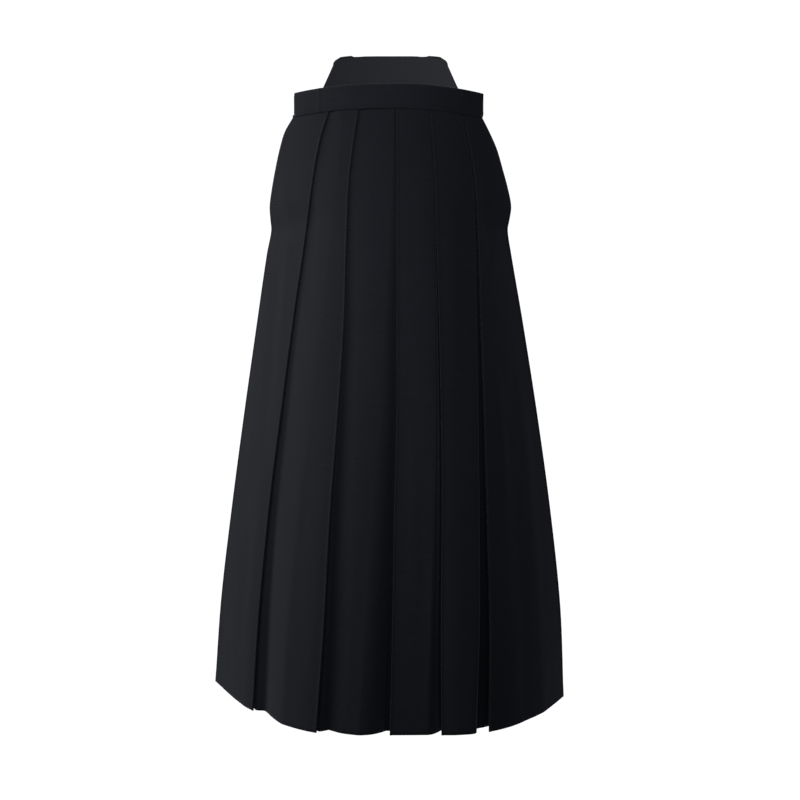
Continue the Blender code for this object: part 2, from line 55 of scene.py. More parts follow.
SIDE_LEAD = 0.003  # the last stretch of a panel before its side seam, which runs straight back
SLIT_STRAIGHTENS = 0.10  # the drop from which a slit's edge turns towards that
SLIT_TURN = 4  # the power by which the back's edge comes over to the front's down the slit
CLOTH_TOP, CROTCH, HEM = -0.004, 0.40, 0.8635
NOTCH = 0.165  # where a side slit ends and the side seam starts
BAND_HEIGHT, BAND_STAND_OFF, BAND_INSIDE = 0.037, 0.0017, 0.0051
BAND_MIDDLE = (BAND_INSIDE - BAND_STAND_OFF) / 2
FRONT_BAND_ENDS, BACK_BAND_ENDS = (-0.1412, 0.1375), (-0.108, 0.108)
TIE_LOW, TIE_HIGH = 0.008, 0.036
TIE_WIDTH = TIE_HIGH - TIE_LOW
TIE_LEAD = 0.0022  # how far a tie runs straight on from the band's end
TIE_EASES_FROM = 0.75  # past this share of the route's width, the ties widen out to the band's own ends
BACK_TIE_FOLD = 0.110  # how far out each back tie folds and turns down
BACK_TIE_FOLD_GAP, BACK_TIE_STAND_OFF = 0.0038, 0.0026  # between its layers at the fold, and off the panel
BACK_TIE_HANGS_FROM, BACK_TIE_END = 0.02, 0.67
KNOT_WIDTH, KNOT_THICKNESS, KNOT_BACK = 0.036, 0.012, 0.0879
TAIL_DEPTH, TAIL_END, TAIL_INNER_EDGE = 0.010, 0.105, 0.004
TAIL_WIDTH = TIE_WIDTH / 2
BOARD_BOTTOM, BOARD_TOP, BOARD_SHOULDER = BAND_HEIGHT - 0.0005, 0.1250, 0.1185
BOARD_HALF_BOTTOM, BOARD_HALF_TOP, BOARD_CORNER = 0.1215, 0.0905, 0.011
BOARD_THICKNESS, BOARD_DEPTH = 0.005, 0.0018
BOARD_LEAN = 0.006  # how far its top leans in
BOARD_FOLLOWS = 0.108  # past this far from the middle it runs straight on
OPENING_STARTS, OPENING_GROWTH = 0.10, 1.4  # the pleats lie pressed above this drop, and open by this power
UNDER_TOP, UNDER_HEM = 0.022, 0.045  # how far a front pleat runs back under its panel
LEG_SPLIT_AT_HEM, INNER_SWELL = 0.010, 0.022
BACK_FOLD_TOP, BACK_FOLD_HEM = 0.013, 0.036
BACK_UNDER_TOP, BACK_UNDER_HEM = 0.040, 0.065
OPEN_AT_HEM, BACK_OPEN_AT_HEM = {1: 0.014, 2: 0.021, 3: 0.023, 4: 0.024, 5: 0.023}, 0.020
FLAT_RIGHT, FLAT_LEFT = 0.20, 0.30
FRONT_FULLNESS_TOP, FRONT_FULLNESS_HEM = 2.2, 1.95
BACK_FULLNESS_TOP, BACK_FULLNESS_HEM = 2.2, 2.0
RIGHT_SIDE, LEFT_SIDE = -1, 1
SIDE_NAMES = {RIGHT_SIDE: "right", LEFT_SIDE: "left"}
CENTRE_FOLD = 3
FRONT_FOLDS = {RIGHT_SIDE: (1, 2), LEFT_SIDE: (5, 4, CENTRE_FOLD)}  # from each side seam inwards

FrontRow = namedtuple("FrontRow", "drop right left front right_back left_back")
FRONT = (
    FrontRow(0.000, 0.1449, 0.1381, 0.095, -0.033, -0.033),
    FrontRow(0.020, 0.1573, 0.1487, 0.104, -0.029, -0.030),
    FrontRow(0.045, 0.1655, 0.1603, 0.113, -0.024, -0.026),
    FrontRow(0.075, 0.1726, 0.1696, 0.120, -0.019, -0.022),
    FrontRow(0.105, 0.1786, 0.1781, 0.128, -0.013, -0.018),
    FrontRow(0.130, 0.1821, 0.1830, 0.134, -0.008, -0.014),
    FrontRow(0.150, 0.1812, 0.1805, 0.138, -0.003, -0.012),
    FrontRow(0.165, 0.1802, 0.1779, 0.142, 0.000, -0.010),
    FrontRow(0.200, 0.1872, 0.1827, 0.149, 0.003, -0.012),
    FrontRow(0.310, 0.2043, 0.2009, 0.171, 0.013, -0.017),
    FrontRow(0.450, 0.2255, 0.2221, 0.196, 0.025, -0.023),
    FrontRow(0.590, 0.2453, 0.2404, 0.221, 0.037, -0.030),
    FrontRow(0.730, 0.2630, 0.2541, 0.246, 0.049, -0.037),
    FrontRow(HEM, 0.2739, 0.2583, 0.270, 0.061, -0.043),
)
BackRow = namedtuple("BackRow", "drop half back edge_back")
BACK = (
    BackRow(0.000, 0.110, 0.100, 0.078),
    BackRow(0.045, 0.131, 0.115, 0.062),
    BackRow(0.105, 0.158, 0.129, 0.036),
    BackRow(NOTCH, 0.179, 0.137, 0.004),
    BackRow(0.310, 0.200, 0.157, 0.000),
    BackRow(0.590, 0.240, 0.203, 0.000),
    BackRow(HEM, 0.265, 0.250, 0.000),
)
FoldRow = namedtuple("FoldRow", "drop fold_1 fold_2 fold_3 fold_4 fold_5")
FOLDS = (
    FoldRow(0.000, -0.0892, -0.0450, 0.0100, 0.0596, 0.1083),
    FoldRow(0.045, -0.1020, -0.0508, 0.0106, 0.0625, 0.1163),
    FoldRow(0.105, -0.1125, -0.0575, 0.0112, 0.0662, 0.1250),
    FoldRow(0.200, -0.1245, -0.0608, 0.0110, 0.0675, 0.1287),
    FoldRow(0.310, -0.1400, -0.0630, 0.0110, 0.0700, 0.1306),
    FoldRow(0.450, -0.1575, -0.0710, 0.0106, 0.0722, 0.1334),
    FoldRow(0.590, -0.1745, -0.0805, 0.0072, 0.0719, 0.1354),
    FoldRow(0.730, -0.1870, -0.0870, 0.0050, 0.0700, 0.1365),
    FoldRow(HEM, -0.1938, -0.0960, 0.0020, 0.0700, 0.1340),
)
FRONT_TIE_ROUTE = (
    (0.1398, -0.0215), (0.1402, 0.0000), (0.1376, 0.0300), (0.1255, 0.0570), (0.1040, 0.0725),
    (0.0720, 0.0822), (0.0400, 0.0876), (0.0183, 0.0893),
)  # fmt: skip

# The finer form of the cloth.
CLOTH, TURNED = 0.0006, 0.0009  # how thick the cloth is, and its turned hem and slit edges
TURNED_HEM, TURNED_COLUMNS = 0.016, 4
SLIT_SEWN_FROM, SLIT_STITCH_COLUMN = 0.004, 3
EDGE_RIDGE, EDGE_RIDGE_WIDTH = 0.0009, 0.0026  # how far a pressed edge stands proud, and over what width
RIDGE_STARTS = 0.02  # the ridge grows over this drop below the band
SHOULDER_AT_TOP = 0.0035
CENTRE_SWELL = 0.85  # the centre panel swells out again by this share of the open pleats beside it
SWELL_AT_BAND = 0.6  # and at the band by this share of that
CENTRE_TILT = 0.85  # it lies this share of its depth deeper at its right side, and shallower at its left
BAND_SEWN_STAND_OFF, BAND_SEWN_HEIGHT = 0.0008, 0.006  # the band's lower edge is pulled in to the cloth
BAND_CLOTH_TOP = BAND_HEIGHT - CLOTH / 2
BAND_CROWN, BAND_BOW = 0.0028, 0.0004  # the height of its rounded top, and how far its outer face bows out
BAND_SLANT = {"front_band": (0.001, 0.0042), "back_band": (0.0, 0.0)}  # extra length of each end at its top
BAND_RIDGES = {"front_band": ((-0.1085, 0.0010), (0.058, 0.0003)), "back_band": ()}  # places round, heights
BAND_RIDGE_WIDTH = 0.0016
BOARD_ROUND = 0.0016
TIE_THICKNESS, TIE_ROUND = 0.0021, 0.0007
TIE_SWAY, BACK_TIE_SWAY, TAIL_SWAY = 0.0005, 0.0006, 0.0006
TIE_RING = 0.14  # about half the width of the ring that the front ties make
LAP_SLOPE, LAP_WIDTH, LAP_GROOVE = 2.2, 0.004, 0.22  # the grooves between the knot's laps
KNOT_ENDS, KNOT_SIDES, KNOT_FACES = (5, 0.35), 0.45, 0.6  # the powers that round it
STITCH, STITCH_PITCH, STITCH_RADIUS = 0.0024, 0.0034, 0.00022
STITCH_FULL = 0.3  # in its lengths, how far from its middle a stitch stays full
NO_LENGTH = 1e-7
SHARP_ANGLE = 50  # degrees, past which a bevel rounds an edge

# Spacing of points, in metres or in steps.
ROW, BACK_TIE_ROW, TAIL_ROW = 0.0048, 0.006, 0.004
BAND_ROW, BAND_INSIDE_ROW, BAND_COLUMN = 0.002, 0.004, 0.0024
FOLD_STEPS, EDGE_STEPS, FLOOR_STEPS, SHOULDER_STEPS, FLANGE_STEPS = 6, 5, 4, 12, 3
SIDE_STEPS, PANEL_STEPS, UNDER_STEPS, LAP_STEPS = 44, 14, 9, 12
BACK_SIDE_STEPS, BACK_UNDER_STEPS, BACK_CENTRE_STEPS, INNER_STEPS = 60, 12, 8, 56
BAND_FOLD_STEPS, BOARD_STEPS, BOARD_SIDE_STEPS, BOARD_CORNER_STEPS = 12, 60, 14, 8
TIE_ROUTE_STEPS, TIE_CALM_STEPS, TIE_FOLD_STEPS, TIE_LEAVING_STEPS, TIE_DROP_STEPS = 7, 6, 8, 4, 7
KNOT_STATIONS, KNOT_STEPS, STITCH_SIDES = 28, 48, 4
TIE_SHARES = (0.0, 0.07, 0.2, 0.35, 0.5, 0.65, 0.8, 0.93, 1.0)  # across a tie, closer at its edges
TAIL_SHARES = (0.0, 0.08, 0.3, 0.5, 0.7, 0.92, 1.0)

# Beside a fold the next panel comes up out of the gap, off a floor and by a shoulder. Both widths are given
# at the hem, and growth is the power by which they widen down to it. The shoulder curves by one power where
# it leaves the floor, rise, and by another where it comes level, round. At the fold itself the floor is only
# share_at_fold of the gap deep. A fold that doesn't lie quite flat has some floor at the band already.
Gap = namedtuple("Gap", "floor_at_top floor shoulder growth rise round share_at_fold")
GAPS = {
    1: Gap(0.0006, 0.010, 0.082, 0.35, 1.4, 1.1, 0.25),
    2: Gap(0.0, 0.008, 0.036, 0.8, 1.2, 1.1, 0.3),
    3: Gap(0.0005, 0.006, 0.036, 1.0, 1.0, 2.4, 1.0),
    4: Gap(0.0005, 0.001, 0.020, 2.0, 1.0, 2.0, 1.0),
    5: Gap(0.0026, 0.009, 0.018, 1.5, 1.0, 2.2, 1.0),
}

# Uneven low ripples, each with its height, how often it comes across the cloth and along it, and a seed.
Ripple = namedtuple("Ripple", "height across along seed")
CLOTH_RIPPLES = (Ripple(0.0009, 13, 4.2, 3.1), Ripple(0.00022, 52, 21, 7.7))
BAND_RIPPLES = (Ripple(0.00035, 42, 60, 1.7), Ripple(0.00012, 190, 240, 4.2))
BOARD_RIPPLES = (Ripple(0.0003, 3.0, 30, 0.4),)
RELIEF_STARTS, RELIEF_GROWS = 0.004, 0.04  # the drop from which ripples and creases start, and grow over
INNER_CREASES_GROW = 0.1  # the same below the crotch
CREASE_REACH = 3  # how far a crease reaches to each side, in widths
CREASE_FADE = 0.3125  # the share of its length over which it fades at each end

# Soft troughs (height below zero) and ridges, from a start to an end, each a place round and a drop.
Crease = namedtuple("Crease", "start_round start_drop end_round end_drop width height")
FRONT_CREASES = (
    Crease(-0.172, 0.030, -0.216, 0.420, 0.0175, 0.0010),
    Crease(-0.196, 0.120, -0.262, 0.600, 0.0203, -0.0011),
    Crease(-0.238, 0.380, -0.300, 1.020, 0.0230, 0.0014),
    Crease(-0.214, 0.520, -0.250, 0.980, 0.0189, -0.0010),
    Crease(-0.205, 0.150, -0.150, 0.235, 0.0121, -0.0007),
    Crease(-0.118, 0.060, -0.134, 0.330, 0.0092, -0.0006),
    Crease(-0.108, 0.300, -0.150, 0.960, 0.0126, -0.0006),
    Crease(-0.086, 0.430, -0.118, 0.940, 0.0092, 0.0005),
    Crease(-0.034, 0.080, -0.030, 0.360, 0.0138, 0.0005),
    Crease(-0.036, 0.330, -0.048, 1.040, 0.0184, 0.0006),
    Crease(-0.007, 0.100, -0.027, 0.950, 0.0260, 0.0030),
    Crease(0.030, 0.050, 0.034, 0.270, 0.0115, -0.0007),
    Crease(0.033, 0.420, 0.037, 0.740, 0.0080, 0.0010),
    Crease(0.046, 0.560, 0.046, 1.000, 0.0103, -0.0006),
    Crease(0.092, 0.100, 0.098, 0.420, 0.0103, 0.0007),
    Crease(0.104, 0.340, 0.112, 0.960, 0.0126, -0.0005),
    Crease(0.086, 0.620, 0.084, 1.020, 0.0092, 0.0004),
    Crease(0.150, 0.040, 0.176, 0.210, 0.0149, -0.0011),
    Crease(0.176, 0.330, 0.190, 0.600, 0.0108, 0.0010),
    Crease(0.196, 0.170, 0.152, 0.250, 0.0108, -0.0006),
    Crease(0.200, 0.420, 0.230, 1.000, 0.0189, -0.0013),
    Crease(0.236, 0.300, 0.290, 1.040, 0.0203, 0.0014),
)
BACK_CREASES = (
    Crease(-0.110, 0.020, -0.150, 0.400, 0.0120, -0.0016),
    Crease(-0.150, 0.150, -0.190, 0.640, 0.0140, 0.0020),
    Crease(-0.170, 0.480, -0.230, 1.020, 0.0150, -0.0022),
    Crease(-0.075, 0.100, -0.090, 0.520, 0.0090, 0.0012),
    Crease(-0.084, 0.450, -0.120, 1.040, 0.0130, 0.0021),
    Crease(-0.060, 0.560, -0.078, 1.000, 0.0090, -0.0013),
    Crease(-0.195, 0.160, -0.140, 0.260, 0.0080, -0.0011),
    Crease(0.095, 0.030, 0.120, 0.360, 0.0110, -0.0013),
    Crease(0.140, 0.120, 0.176, 0.560, 0.0130, 0.0019),
    Crease(0.160, 0.400, 0.215, 1.000, 0.0160, -0.0024),
    Crease(0.062, 0.180, 0.072, 0.620, 0.0100, 0.0011),
    Crease(0.096, 0.520, 0.135, 1.030, 0.0120, 0.0018),
    Crease(0.070, 0.640, 0.084, 1.020, 0.0080, -0.0012),
    Crease(0.200, 0.170, 0.150, 0.250, 0.0090, -0.0010),
)
INNER_CREASES = (
    Crease(0.050, 0.400, 0.060, 0.720, 0.0120, 0.0022),
    Crease(0.110, 0.430, 0.130, 1.000, 0.0160, -0.0030),
    Crease(0.180, 0.420, 0.220, 0.950, 0.0180, 0.0028),
    Crease(0.260, 0.500, 0.330, 1.000, 0.0150, -0.0024),
)

# Colours, the camera and the floor.
BLACK = (0.0090, 0.0098, 0.0142)
BOARD_COLOUR, THREAD_COLOUR, PALE = (0.0390, 0.0405, 0.0470), (0.013, 0.014, 0.018), (0.8, 0.8, 0.8, 1.0)
WARP_PITCH = 0.0027635
CAMERA_LENS, CAMERA_PLACE = 58.52, (0.0152, -1.98, -0.4225)
FLOOR_HEIGHT, FLOOR_RADIUS = -1.3, 0.5


def between(table, drop, column):
    """A column of a table at a drop, on a smooth curve through its rows."""
    drops = [row.drop for row in table]
    values = [getattr(row, column) for row in table]
    if drop <= drops[0]:
        return values[0]
    if drop >= drops[-1]:
        return values[-1]
    i = max(k for k in range(len(drops) - 1) if drops[k] <= drop)

    def slope(k):
        low, high = max(k - 1, 0), min(k + 1, len(drops) - 1)
        return (values[high] - values[low]) / (drops[high] - drops[low])

    span = drops[i + 1] - drops[i]
    t = (drop - drops[i]) / span
    start = values[i] * (1 + 2 * t) * (1 - t) ** 2 + span * slope(i) * t * (1 - t) ** 2
    end = values[i + 1] * t * t * (3 - 2 * t) + span * slope(i + 1) * t * t * (t - 1)
    return start + end


def even_shares(steps):
    """Shares from 0 to 1 in even steps."""
    return [k / steps for k in range(steps + 1)]


def part_way(start, end, share):
    """A point this share of the way from one point to another."""
    return tuple(a + (b - a) * share for a, b in zip(start, end))


def distances(points):
    """How far along a line each of its points is."""
    run = [0.0]
    for a, b in zip(points, points[1:]):
        run.append(run[-1] + math.dist(a, b))
    return run


def rippled(ripples, across, along):
    """How far some ripples lift the cloth at a place."""
    lift = 0.0
    for ripple in ripples:
        spot = Vector((across * ripple.across, along * ripple.along, ripple.seed))
        lift += ripple.height * noise.noise(spot)
    return lift


def to_hem(drop, at_top, at_hem):
    """A size that grows evenly from the waist to the hem."""
    return at_top + (at_hem - at_top) * min(max(drop / HEM, 0.0), 1.0)


def from_crotch(drop, at_hem):
    """A size that grows evenly from nothing at the crotch to the hem."""
    return at_hem * max(drop - CROTCH, 0.0) / (HEM - CROTCH)


def soft(share):
    """From 0 to 1 with a soft start and end."""
    share = min(max(share, 0.0), 1.0)
    return share * share * (3 - 2 * share)


def opening(drop, open_at_hem):
    """How far a folded edge stands off the next panel: pressed flat at the top, open at the hem."""
    share = max(drop - OPENING_STARTS, 0.0) / (HEM - OPENING_STARTS)
    return 2 * LAYER + (open_at_hem - 2 * LAYER) * share**OPENING_GROWTH


def relief(creases, place, drop):
    """How far the cloth stands out at a place round the garment and a drop."""
    out = 0.0
    for crease in creases:
        run = (crease.end_round - crease.start_round, crease.end_drop - crease.start_drop)
        length = math.hypot(*run)
        way = (run[0] / length, run[1] / length)
        off = (place - crease.start_round, drop - crease.start_drop)
        share = (off[0] * way[0] + off[1] * way[1]) / length
        if not 0 < share < 1:
            continue
        across = (off[0] * way[1] - off[1] * way[0]) / crease.width
        if abs(across) < CREASE_REACH:
            ends = soft(share / CREASE_FADE) * soft((1 - share) / CREASE_FADE)
            out += crease.height * math.exp(-across * across) * ends
    return out + rippled(CLOTH_RIPPLES, place, drop)


class Outline:
    """Half of the outline at one drop, from its right side to its left, measured along its length."""

    SAMPLES = 240
    EASE = 0.022  # the relief fades out over this much before a side seam

    def __init__(self, drop, right, left, middle, flat, fullness, creases):
        """right and left are the side points, middle is the y of the centre. flat is the share of each
        half-width that stays level with the centre, and fullness the power by which the rest falls back, each
        (right, left)."""
        self.drop = drop
        self.creases = creases
        self.inward = 1.0 if middle < 0 else -1.0
        self.points = []
        for k in range(self.SAMPLES + 1):
            across = -math.cos(math.pi * k / self.SAMPLES)
            corner = right if across < 0 else left
            side = 0 if across < 0 else 1
            beyond = max(0.0, (abs(across) - flat[side]) / (1 - flat[side]))
            y = corner[1] + (middle - corner[1]) * (1 - beyond ** fullness[side])
            self.points.append((abs(across) * corner[0], y))
        self.along = distances(self.points)
        self.length = self.along[-1]
        self.centre = self.at_x(0.0)

    def at_x(self, x):
        """How far along the outline it crosses x."""
        places = [point[0] for point in self.points]
        k = self.stretch(places, x)
        share = min(max((x - places[k]) / (places[k + 1] - places[k]), 0.0), 1.0)
        return self.along[k] + share * (self.along[k + 1] - self.along[k])

    def stretch(self, places, place):
        """Which stretch of the outline holds a place, or else the nearest one."""
        return min(max(bisect_right(places, place) - 1, 0), self.SAMPLES - 1)

    def way_in(self, along):
        """The stretch of the outline that holds this place, and the way in there."""
        k = self.stretch(self.along, along)
        low, high = max(k - 2, 0), min(k + 3, self.SAMPLES)
        run_x = self.points[high][0] - self.points[low][0]
        run_y = self.points[high][1] - self.points[low][1]
        size = math.hypot(run_x, run_y)
        return k, (-run_y / size * self.inward, run_x / size * self.inward)

    def at(self, along, depth=0.0, creased=True):
        """The point this far along, moved in by a depth and out by the relief, and the way in there."""
        k, inward = self.way_in(along)
        t = (along - self.along[k]) / (self.along[k + 1] - self.along[k])
        x, y = part_way(self.points[k], self.points[k + 1], t)
        if creased and self.drop > 0:
            calm = soft(min(along, self.length - along) / self.EASE)
            calm *= soft((self.drop - RELIEF_STARTS) / RELIEF_GROWS)
            depth -= relief(self.creases, along - self.centre, self.drop) * calm
        return (x + inward[0] * depth, y + inward[1] * depth), inward


def side_seams(drop):
    """The front's side points, right and left."""
    right = (-between(FRONT, drop, "right"), between(FRONT, drop, "right_back"))
    return right, (between(FRONT, drop, "left"), between(FRONT, drop, "left_back"))


def front_outline(drop):
    right, left = side_seams(drop)
    flat = (to_hem(drop, 0.0, FLAT_RIGHT), to_hem(drop, 0.0, FLAT_LEFT))
    fullness = (to_hem(drop, FRONT_FULLNESS_TOP, FRONT_FULLNESS_HEM), FRONT_FULLNESS_TOP)
    return Outline(drop, right, left, -between(FRONT, drop, "front"), flat, fullness, FRONT_CREASES)


def back_outline(drop):
    """Down to the notches its edges run in the side slits, and below them along the front's side seams."""
    right, left = side_seams(max(drop, NOTCH))
    if drop < NOTCH:
        half, edge_back = between(BACK, drop, "half"), between(BACK, drop, "edge_back")
        notch = next(row for row in BACK if row.drop == NOTCH)
        there = drop / NOTCH if drop > 0 else 0.0
        turned = there**SLIT_TURN
        right = (-half + (right[0] + notch.half) * there, edge_back + (right[1] - notch.edge_back) * turned)
        left = (half + (left[0] - notch.half) * there, edge_back + (left[1] - notch.edge_back) * turned)
    fullness = to_hem(drop, BACK_FULLNESS_TOP, BACK_FULLNESS_HEM)
    middle = between(BACK, drop, "back")
    return Outline(drop, right, left, middle, (0.0, 0.0), (fullness, fullness), BACK_CREASES)


def fold_edge(outline, fold):
    """How far along the outline a front fold's edge is."""
    return outline.at_x(between(FOLDS, outline.drop, f"fold_{fold}"))


def lay(outline, start, end, depth_start, depth_end, steps):
    """Points of a layer of cloth from one place along the outline to another, and from depth to depth."""
    ends = (start, depth_start), (end, depth_end)
    return [outline.at(*part_way(*ends, share))[0] for share in even_shares(steps)]


def turn_back(outline, edge, depth, way, proud=0.0):
    """A pressed fold: half a circle from a layer at this depth, going this way, to the layer under it."""
    radius = LAYER / 2
    points = []
    for share in even_shares(FOLD_STEPS)[1:-1]:
        angle = math.pi * share
        along = edge - way * radius * (1 - math.sin(angle))
        lift = proud * (1 + math.cos(angle)) / 2
        points.append(outline.at(along, depth - lift + radius * (1 - math.cos(angle)))[0])
    return points


def ridge_start(edge, way):
    """Where the slight ridge begins that a panel rises into before its fold."""
    return edge - way * (LAYER / 2 + EDGE_RIDGE_WIDTH)


def pressed_edge(outline, edge, way):
    """The last stretch of a panel before its fold, rising into a slight ridge, and the fold itself."""
    ridge = EDGE_RIDGE * soft(outline.drop / RIDGE_STARTS)
    points = []
    for share in even_shares(EDGE_STEPS)[1:]:
        along = ridge_start(edge, way) + way * EDGE_RIDGE_WIDTH * share
        points.append(outline.at(along, -ridge * soft(share))[0])
    return points + turn_back(outline, edge, 0.0, way, ridge)


def gap_widths(drop, fold):
    """How wide the floor of a fold's gap is at a drop, and the shoulder beside it."""
    gap = GAPS[fold]
    share = min(max(drop / HEM, 0.0), 1.0) ** gap.growth
    floor = gap.floor_at_top + (gap.floor - gap.floor_at_top) * share
    return floor, SHOULDER_AT_TOP + (gap.shoulder - SHOULDER_AT_TOP) * share


def depth_at_fold(depth, fold):
    """How deep the next panel lies right at a fold, where the gap beside it is this deep."""
    return 2 * LAYER + (depth - 2 * LAYER) * GAPS[fold].share_at_fold


def out_of_gap(outline, mouth, way, depth, level, fold):
    """Points from a fold's edge over its gap's floor and up the shoulder to a level, and where they end."""
    floor, shoulder = gap_widths(outline.drop, fold)
    shallow = depth_at_fold(depth, fold)
    points = []
    for share in even_shares(FLOOR_STEPS)[:-1]:
        points.append(outline.at(mouth + way * floor * share, shallow + (depth - shallow) * soft(share))[0])
    for share in even_shares(SHOULDER_STEPS):
        lower = (depth - level) * (1 - share ** GAPS[fold].rise) ** GAPS[fold].round
        points.append(outline.at(mouth + way * (floor + shoulder * share), level + lower)[0])
    return points, mouth + way * (floor + shoulder)


def side_lead(outline, drop, side):
    """The points at a side edge: straight back down the seam, and with the outline down the slit."""
    way = -outline.inward
    ends = (0.0, SIDE_LEAD) if side == RIGHT_SIDE else (outline.length, outline.length - SIDE_LEAD)
    corner, inner = (outline.at(end)[0] for end in ends)
    straight = min(max((drop - SLIT_STRAIGHTENS) / (NOTCH - SLIT_STRAIGHTENS), 0.0), 1.0)
    lead = part_way(inner, (corner[0], corner[1] + way * SIDE_LEAD), straight)
    return [(corner[0], corner[1] + way * SEAM / 2), lead]


def panel_start(outline, side):
    """Where a leg's first panel begins, past the points at its side edge."""
    side_seam = 0.0 if side == RIGHT_SIDE else outline.length
    return side_seam - side * 2 * SIDE_LEAD


def centre_seam(outline, drop, side):
    """Where the front's centre seam lies for one leg, under the centre fold."""
    seam = fold_edge(outline, CENTRE_FOLD) + to_hem(drop, UNDER_TOP, UNDER_HEM)
    split = from_crotch(drop, LEG_SPLIT_AT_HEM)
    return seam + split / 2 if side == LEFT_SIDE else seam - split / 2 - WALL - CENTRE_GAP


def turned_in(drop):
    """The angle by which a centre seam's allowance is turned in: flat in the band and square below."""
    return math.pi / 2 * min(max(drop / TURN_ENDS, 0.0), 1.0)


def front_flange(outline, drop, side, length):
    """The far edge of a front leg's seam allowance at the centre seam."""
    seam = centre_seam(outline, drop, side)
    depth = opening(drop, OPEN_AT_HEM[CENTRE_FOLD])
    if side == LEFT_SIDE:
        depth -= LAYER
        length += LAYER
    corner = outline.at(seam, depth)[0]
    way_in = outline.at(centre_seam(outline, drop, LEFT_SIDE))[1]
    inward, onward = length * math.sin(turned_in(drop)), length * math.cos(turned_in(drop))
    end_x = corner[0] + way_in[0] * inward + way_in[1] * onward
    end_y = corner[1] + way_in[1] * inward - way_in[0] * onward
    return (end_x, end_y), way_in


def straight_run(start, end, steps):
    """Points from one place to another, without the first."""
    return [part_way(start, end, share) for share in even_shares(steps)[1:]]


def front_leg_path(drop, side):
    """One front leg's cloth at a drop, from its side seam through its pleats to the centre seam."""
    outline = front_outline(drop)
    inwards = -side
    under = to_hem(drop, UNDER_TOP, UNDER_HEM)
    path = side_lead(outline, drop, side)
    start = panel_start(outline, side)
    radius = inwards * LAYER / 2
    last_fold = None
    for fold in FRONT_FOLDS[side]:
        edge = fold_edge(outline, fold)
        before = ridge_start(edge, inwards)
        if last_fold is None:
            path += lay(outline, start, before, 0.0, 0.0, SIDE_STEPS)
        else:
            shallow = depth_at_fold(depth, last_fold)
            path += lay(outline, start + radius, mouth, depth, shallow, UNDER_STEPS)[:-1]
            shoulder, level_from = out_of_gap(outline, mouth, inwards, depth, 0.0, last_fold)
            path += shoulder[:-1] + lay(outline, level_from, before, 0.0, 0.0, PANEL_STEPS)
        path += pressed_edge(outline, edge, inwards)
        if fold == CENTRE_FOLD:
            break
        last_fold, mouth = fold, edge
        depth = opening(drop, OPEN_AT_HEM[fold])
        start = edge - inwards * under
        path += lay(outline, edge - radius, start + radius, LAYER, depth - LAYER, UNDER_STEPS)
        path += turn_back(outline, start, depth - LAYER, -inwards)
    seam = centre_seam(outline, drop, side)
    seam_depth = opening(drop, OPEN_AT_HEM[CENTRE_FOLD])
    if side == RIGHT_SIDE:
        centre_fold = fold_edge(outline, CENTRE_FOLD)
        grown = SWELL_AT_BAND + (1 - SWELL_AT_BAND) * min(1.0, max(drop, 0.0) / CROTCH)
        level = (depth + seam_depth) / 2 * (1 - CENTRE_SWELL * grown)
        low, high = level * (1 + CENTRE_TILT), level * (1 - CENTRE_TILT)
        shallow = depth_at_fold(depth, last_fold)
        path += lay(outline, start + radius, mouth, depth, shallow, UNDER_STEPS)[:-1]
        up, level_from = out_of_gap(outline, mouth, inwards, depth, low, last_fold)
        down, level_to = out_of_gap(outline, centre_fold, -inwards, seam_depth, high, CENTRE_FOLD)
        path += up[:-1] + lay(outline, level_from, level_to, low, high, PANEL_STEPS)[:-1] + down[:0:-1]
        path += lay(outline, centre_fold, seam, seam_depth, seam_depth, UNDER_STEPS)
    else:
        path += lay(outline, edge - radius, seam, LAYER, seam_depth - LAYER, LAP_STEPS)
    return path + straight_run(path[-1], front_flange(outline, drop, side, FLANGE)[0], FLANGE_STEPS)


def back_flange(outline, drop, side, length):
    """The corner of a back leg at the centre seam, and the far edge of its seam allowance, this long."""
    turn = turned_in(drop)
    edge = (from_crotch(drop, LEG_SPLIT_AT_HEM) + CENTRE_BACK_GAP + CLOTH * math.sin(turn)) / 2
    depth = opening(drop, BACK_OPEN_AT_HEM)
    corner = outline.at(outline.at_x(side * (edge + FLANGE * math.cos(turn))), depth)[0]
    middle = outline.at(outline.at_x(side * edge), depth)[0]
    return corner, (middle[0], middle[1] - length * math.sin(turn))


def back_leg_path(drop, side):
    """One back leg's cloth at a drop, from its side seam to its fold, back under it and to the centre."""
    outline = back_outline(drop)
    inwards = -side
    radius = inwards * LAYER / 2
    path = side_lead(outline, drop, side)
    start = panel_start(outline, side)
    edge = outline.at_x(side * to_hem(drop, BACK_FOLD_TOP, BACK_FOLD_HEM))
    under = edge - inwards * to_hem(drop, BACK_UNDER_TOP, BACK_UNDER_HEM)
    depth = opening(drop, BACK_OPEN_AT_HEM)
    path += lay(outline, start, ridge_start(edge, inwards), 0.0, 0.0, BACK_SIDE_STEPS)
    path += pressed_edge(outline, edge, inwards)
    path += lay(outline, edge - radius, under + radius, LAYER, depth - LAYER, BACK_UNDER_STEPS)
    path += turn_back(outline, under, depth - LAYER, -inwards)
    path += lay(outline, under + radius, edge, depth, depth, BACK_UNDER_STEPS)[:-1]
    corner, end = back_flange(outline, drop, side, FLANGE)
    path += lay(outline, edge, outline.at_x(corner[0]), depth, depth, BACK_CENTRE_STEPS)[:-1]
    return [*path, corner, *straight_run(corner, end, FLANGE_STEPS)]


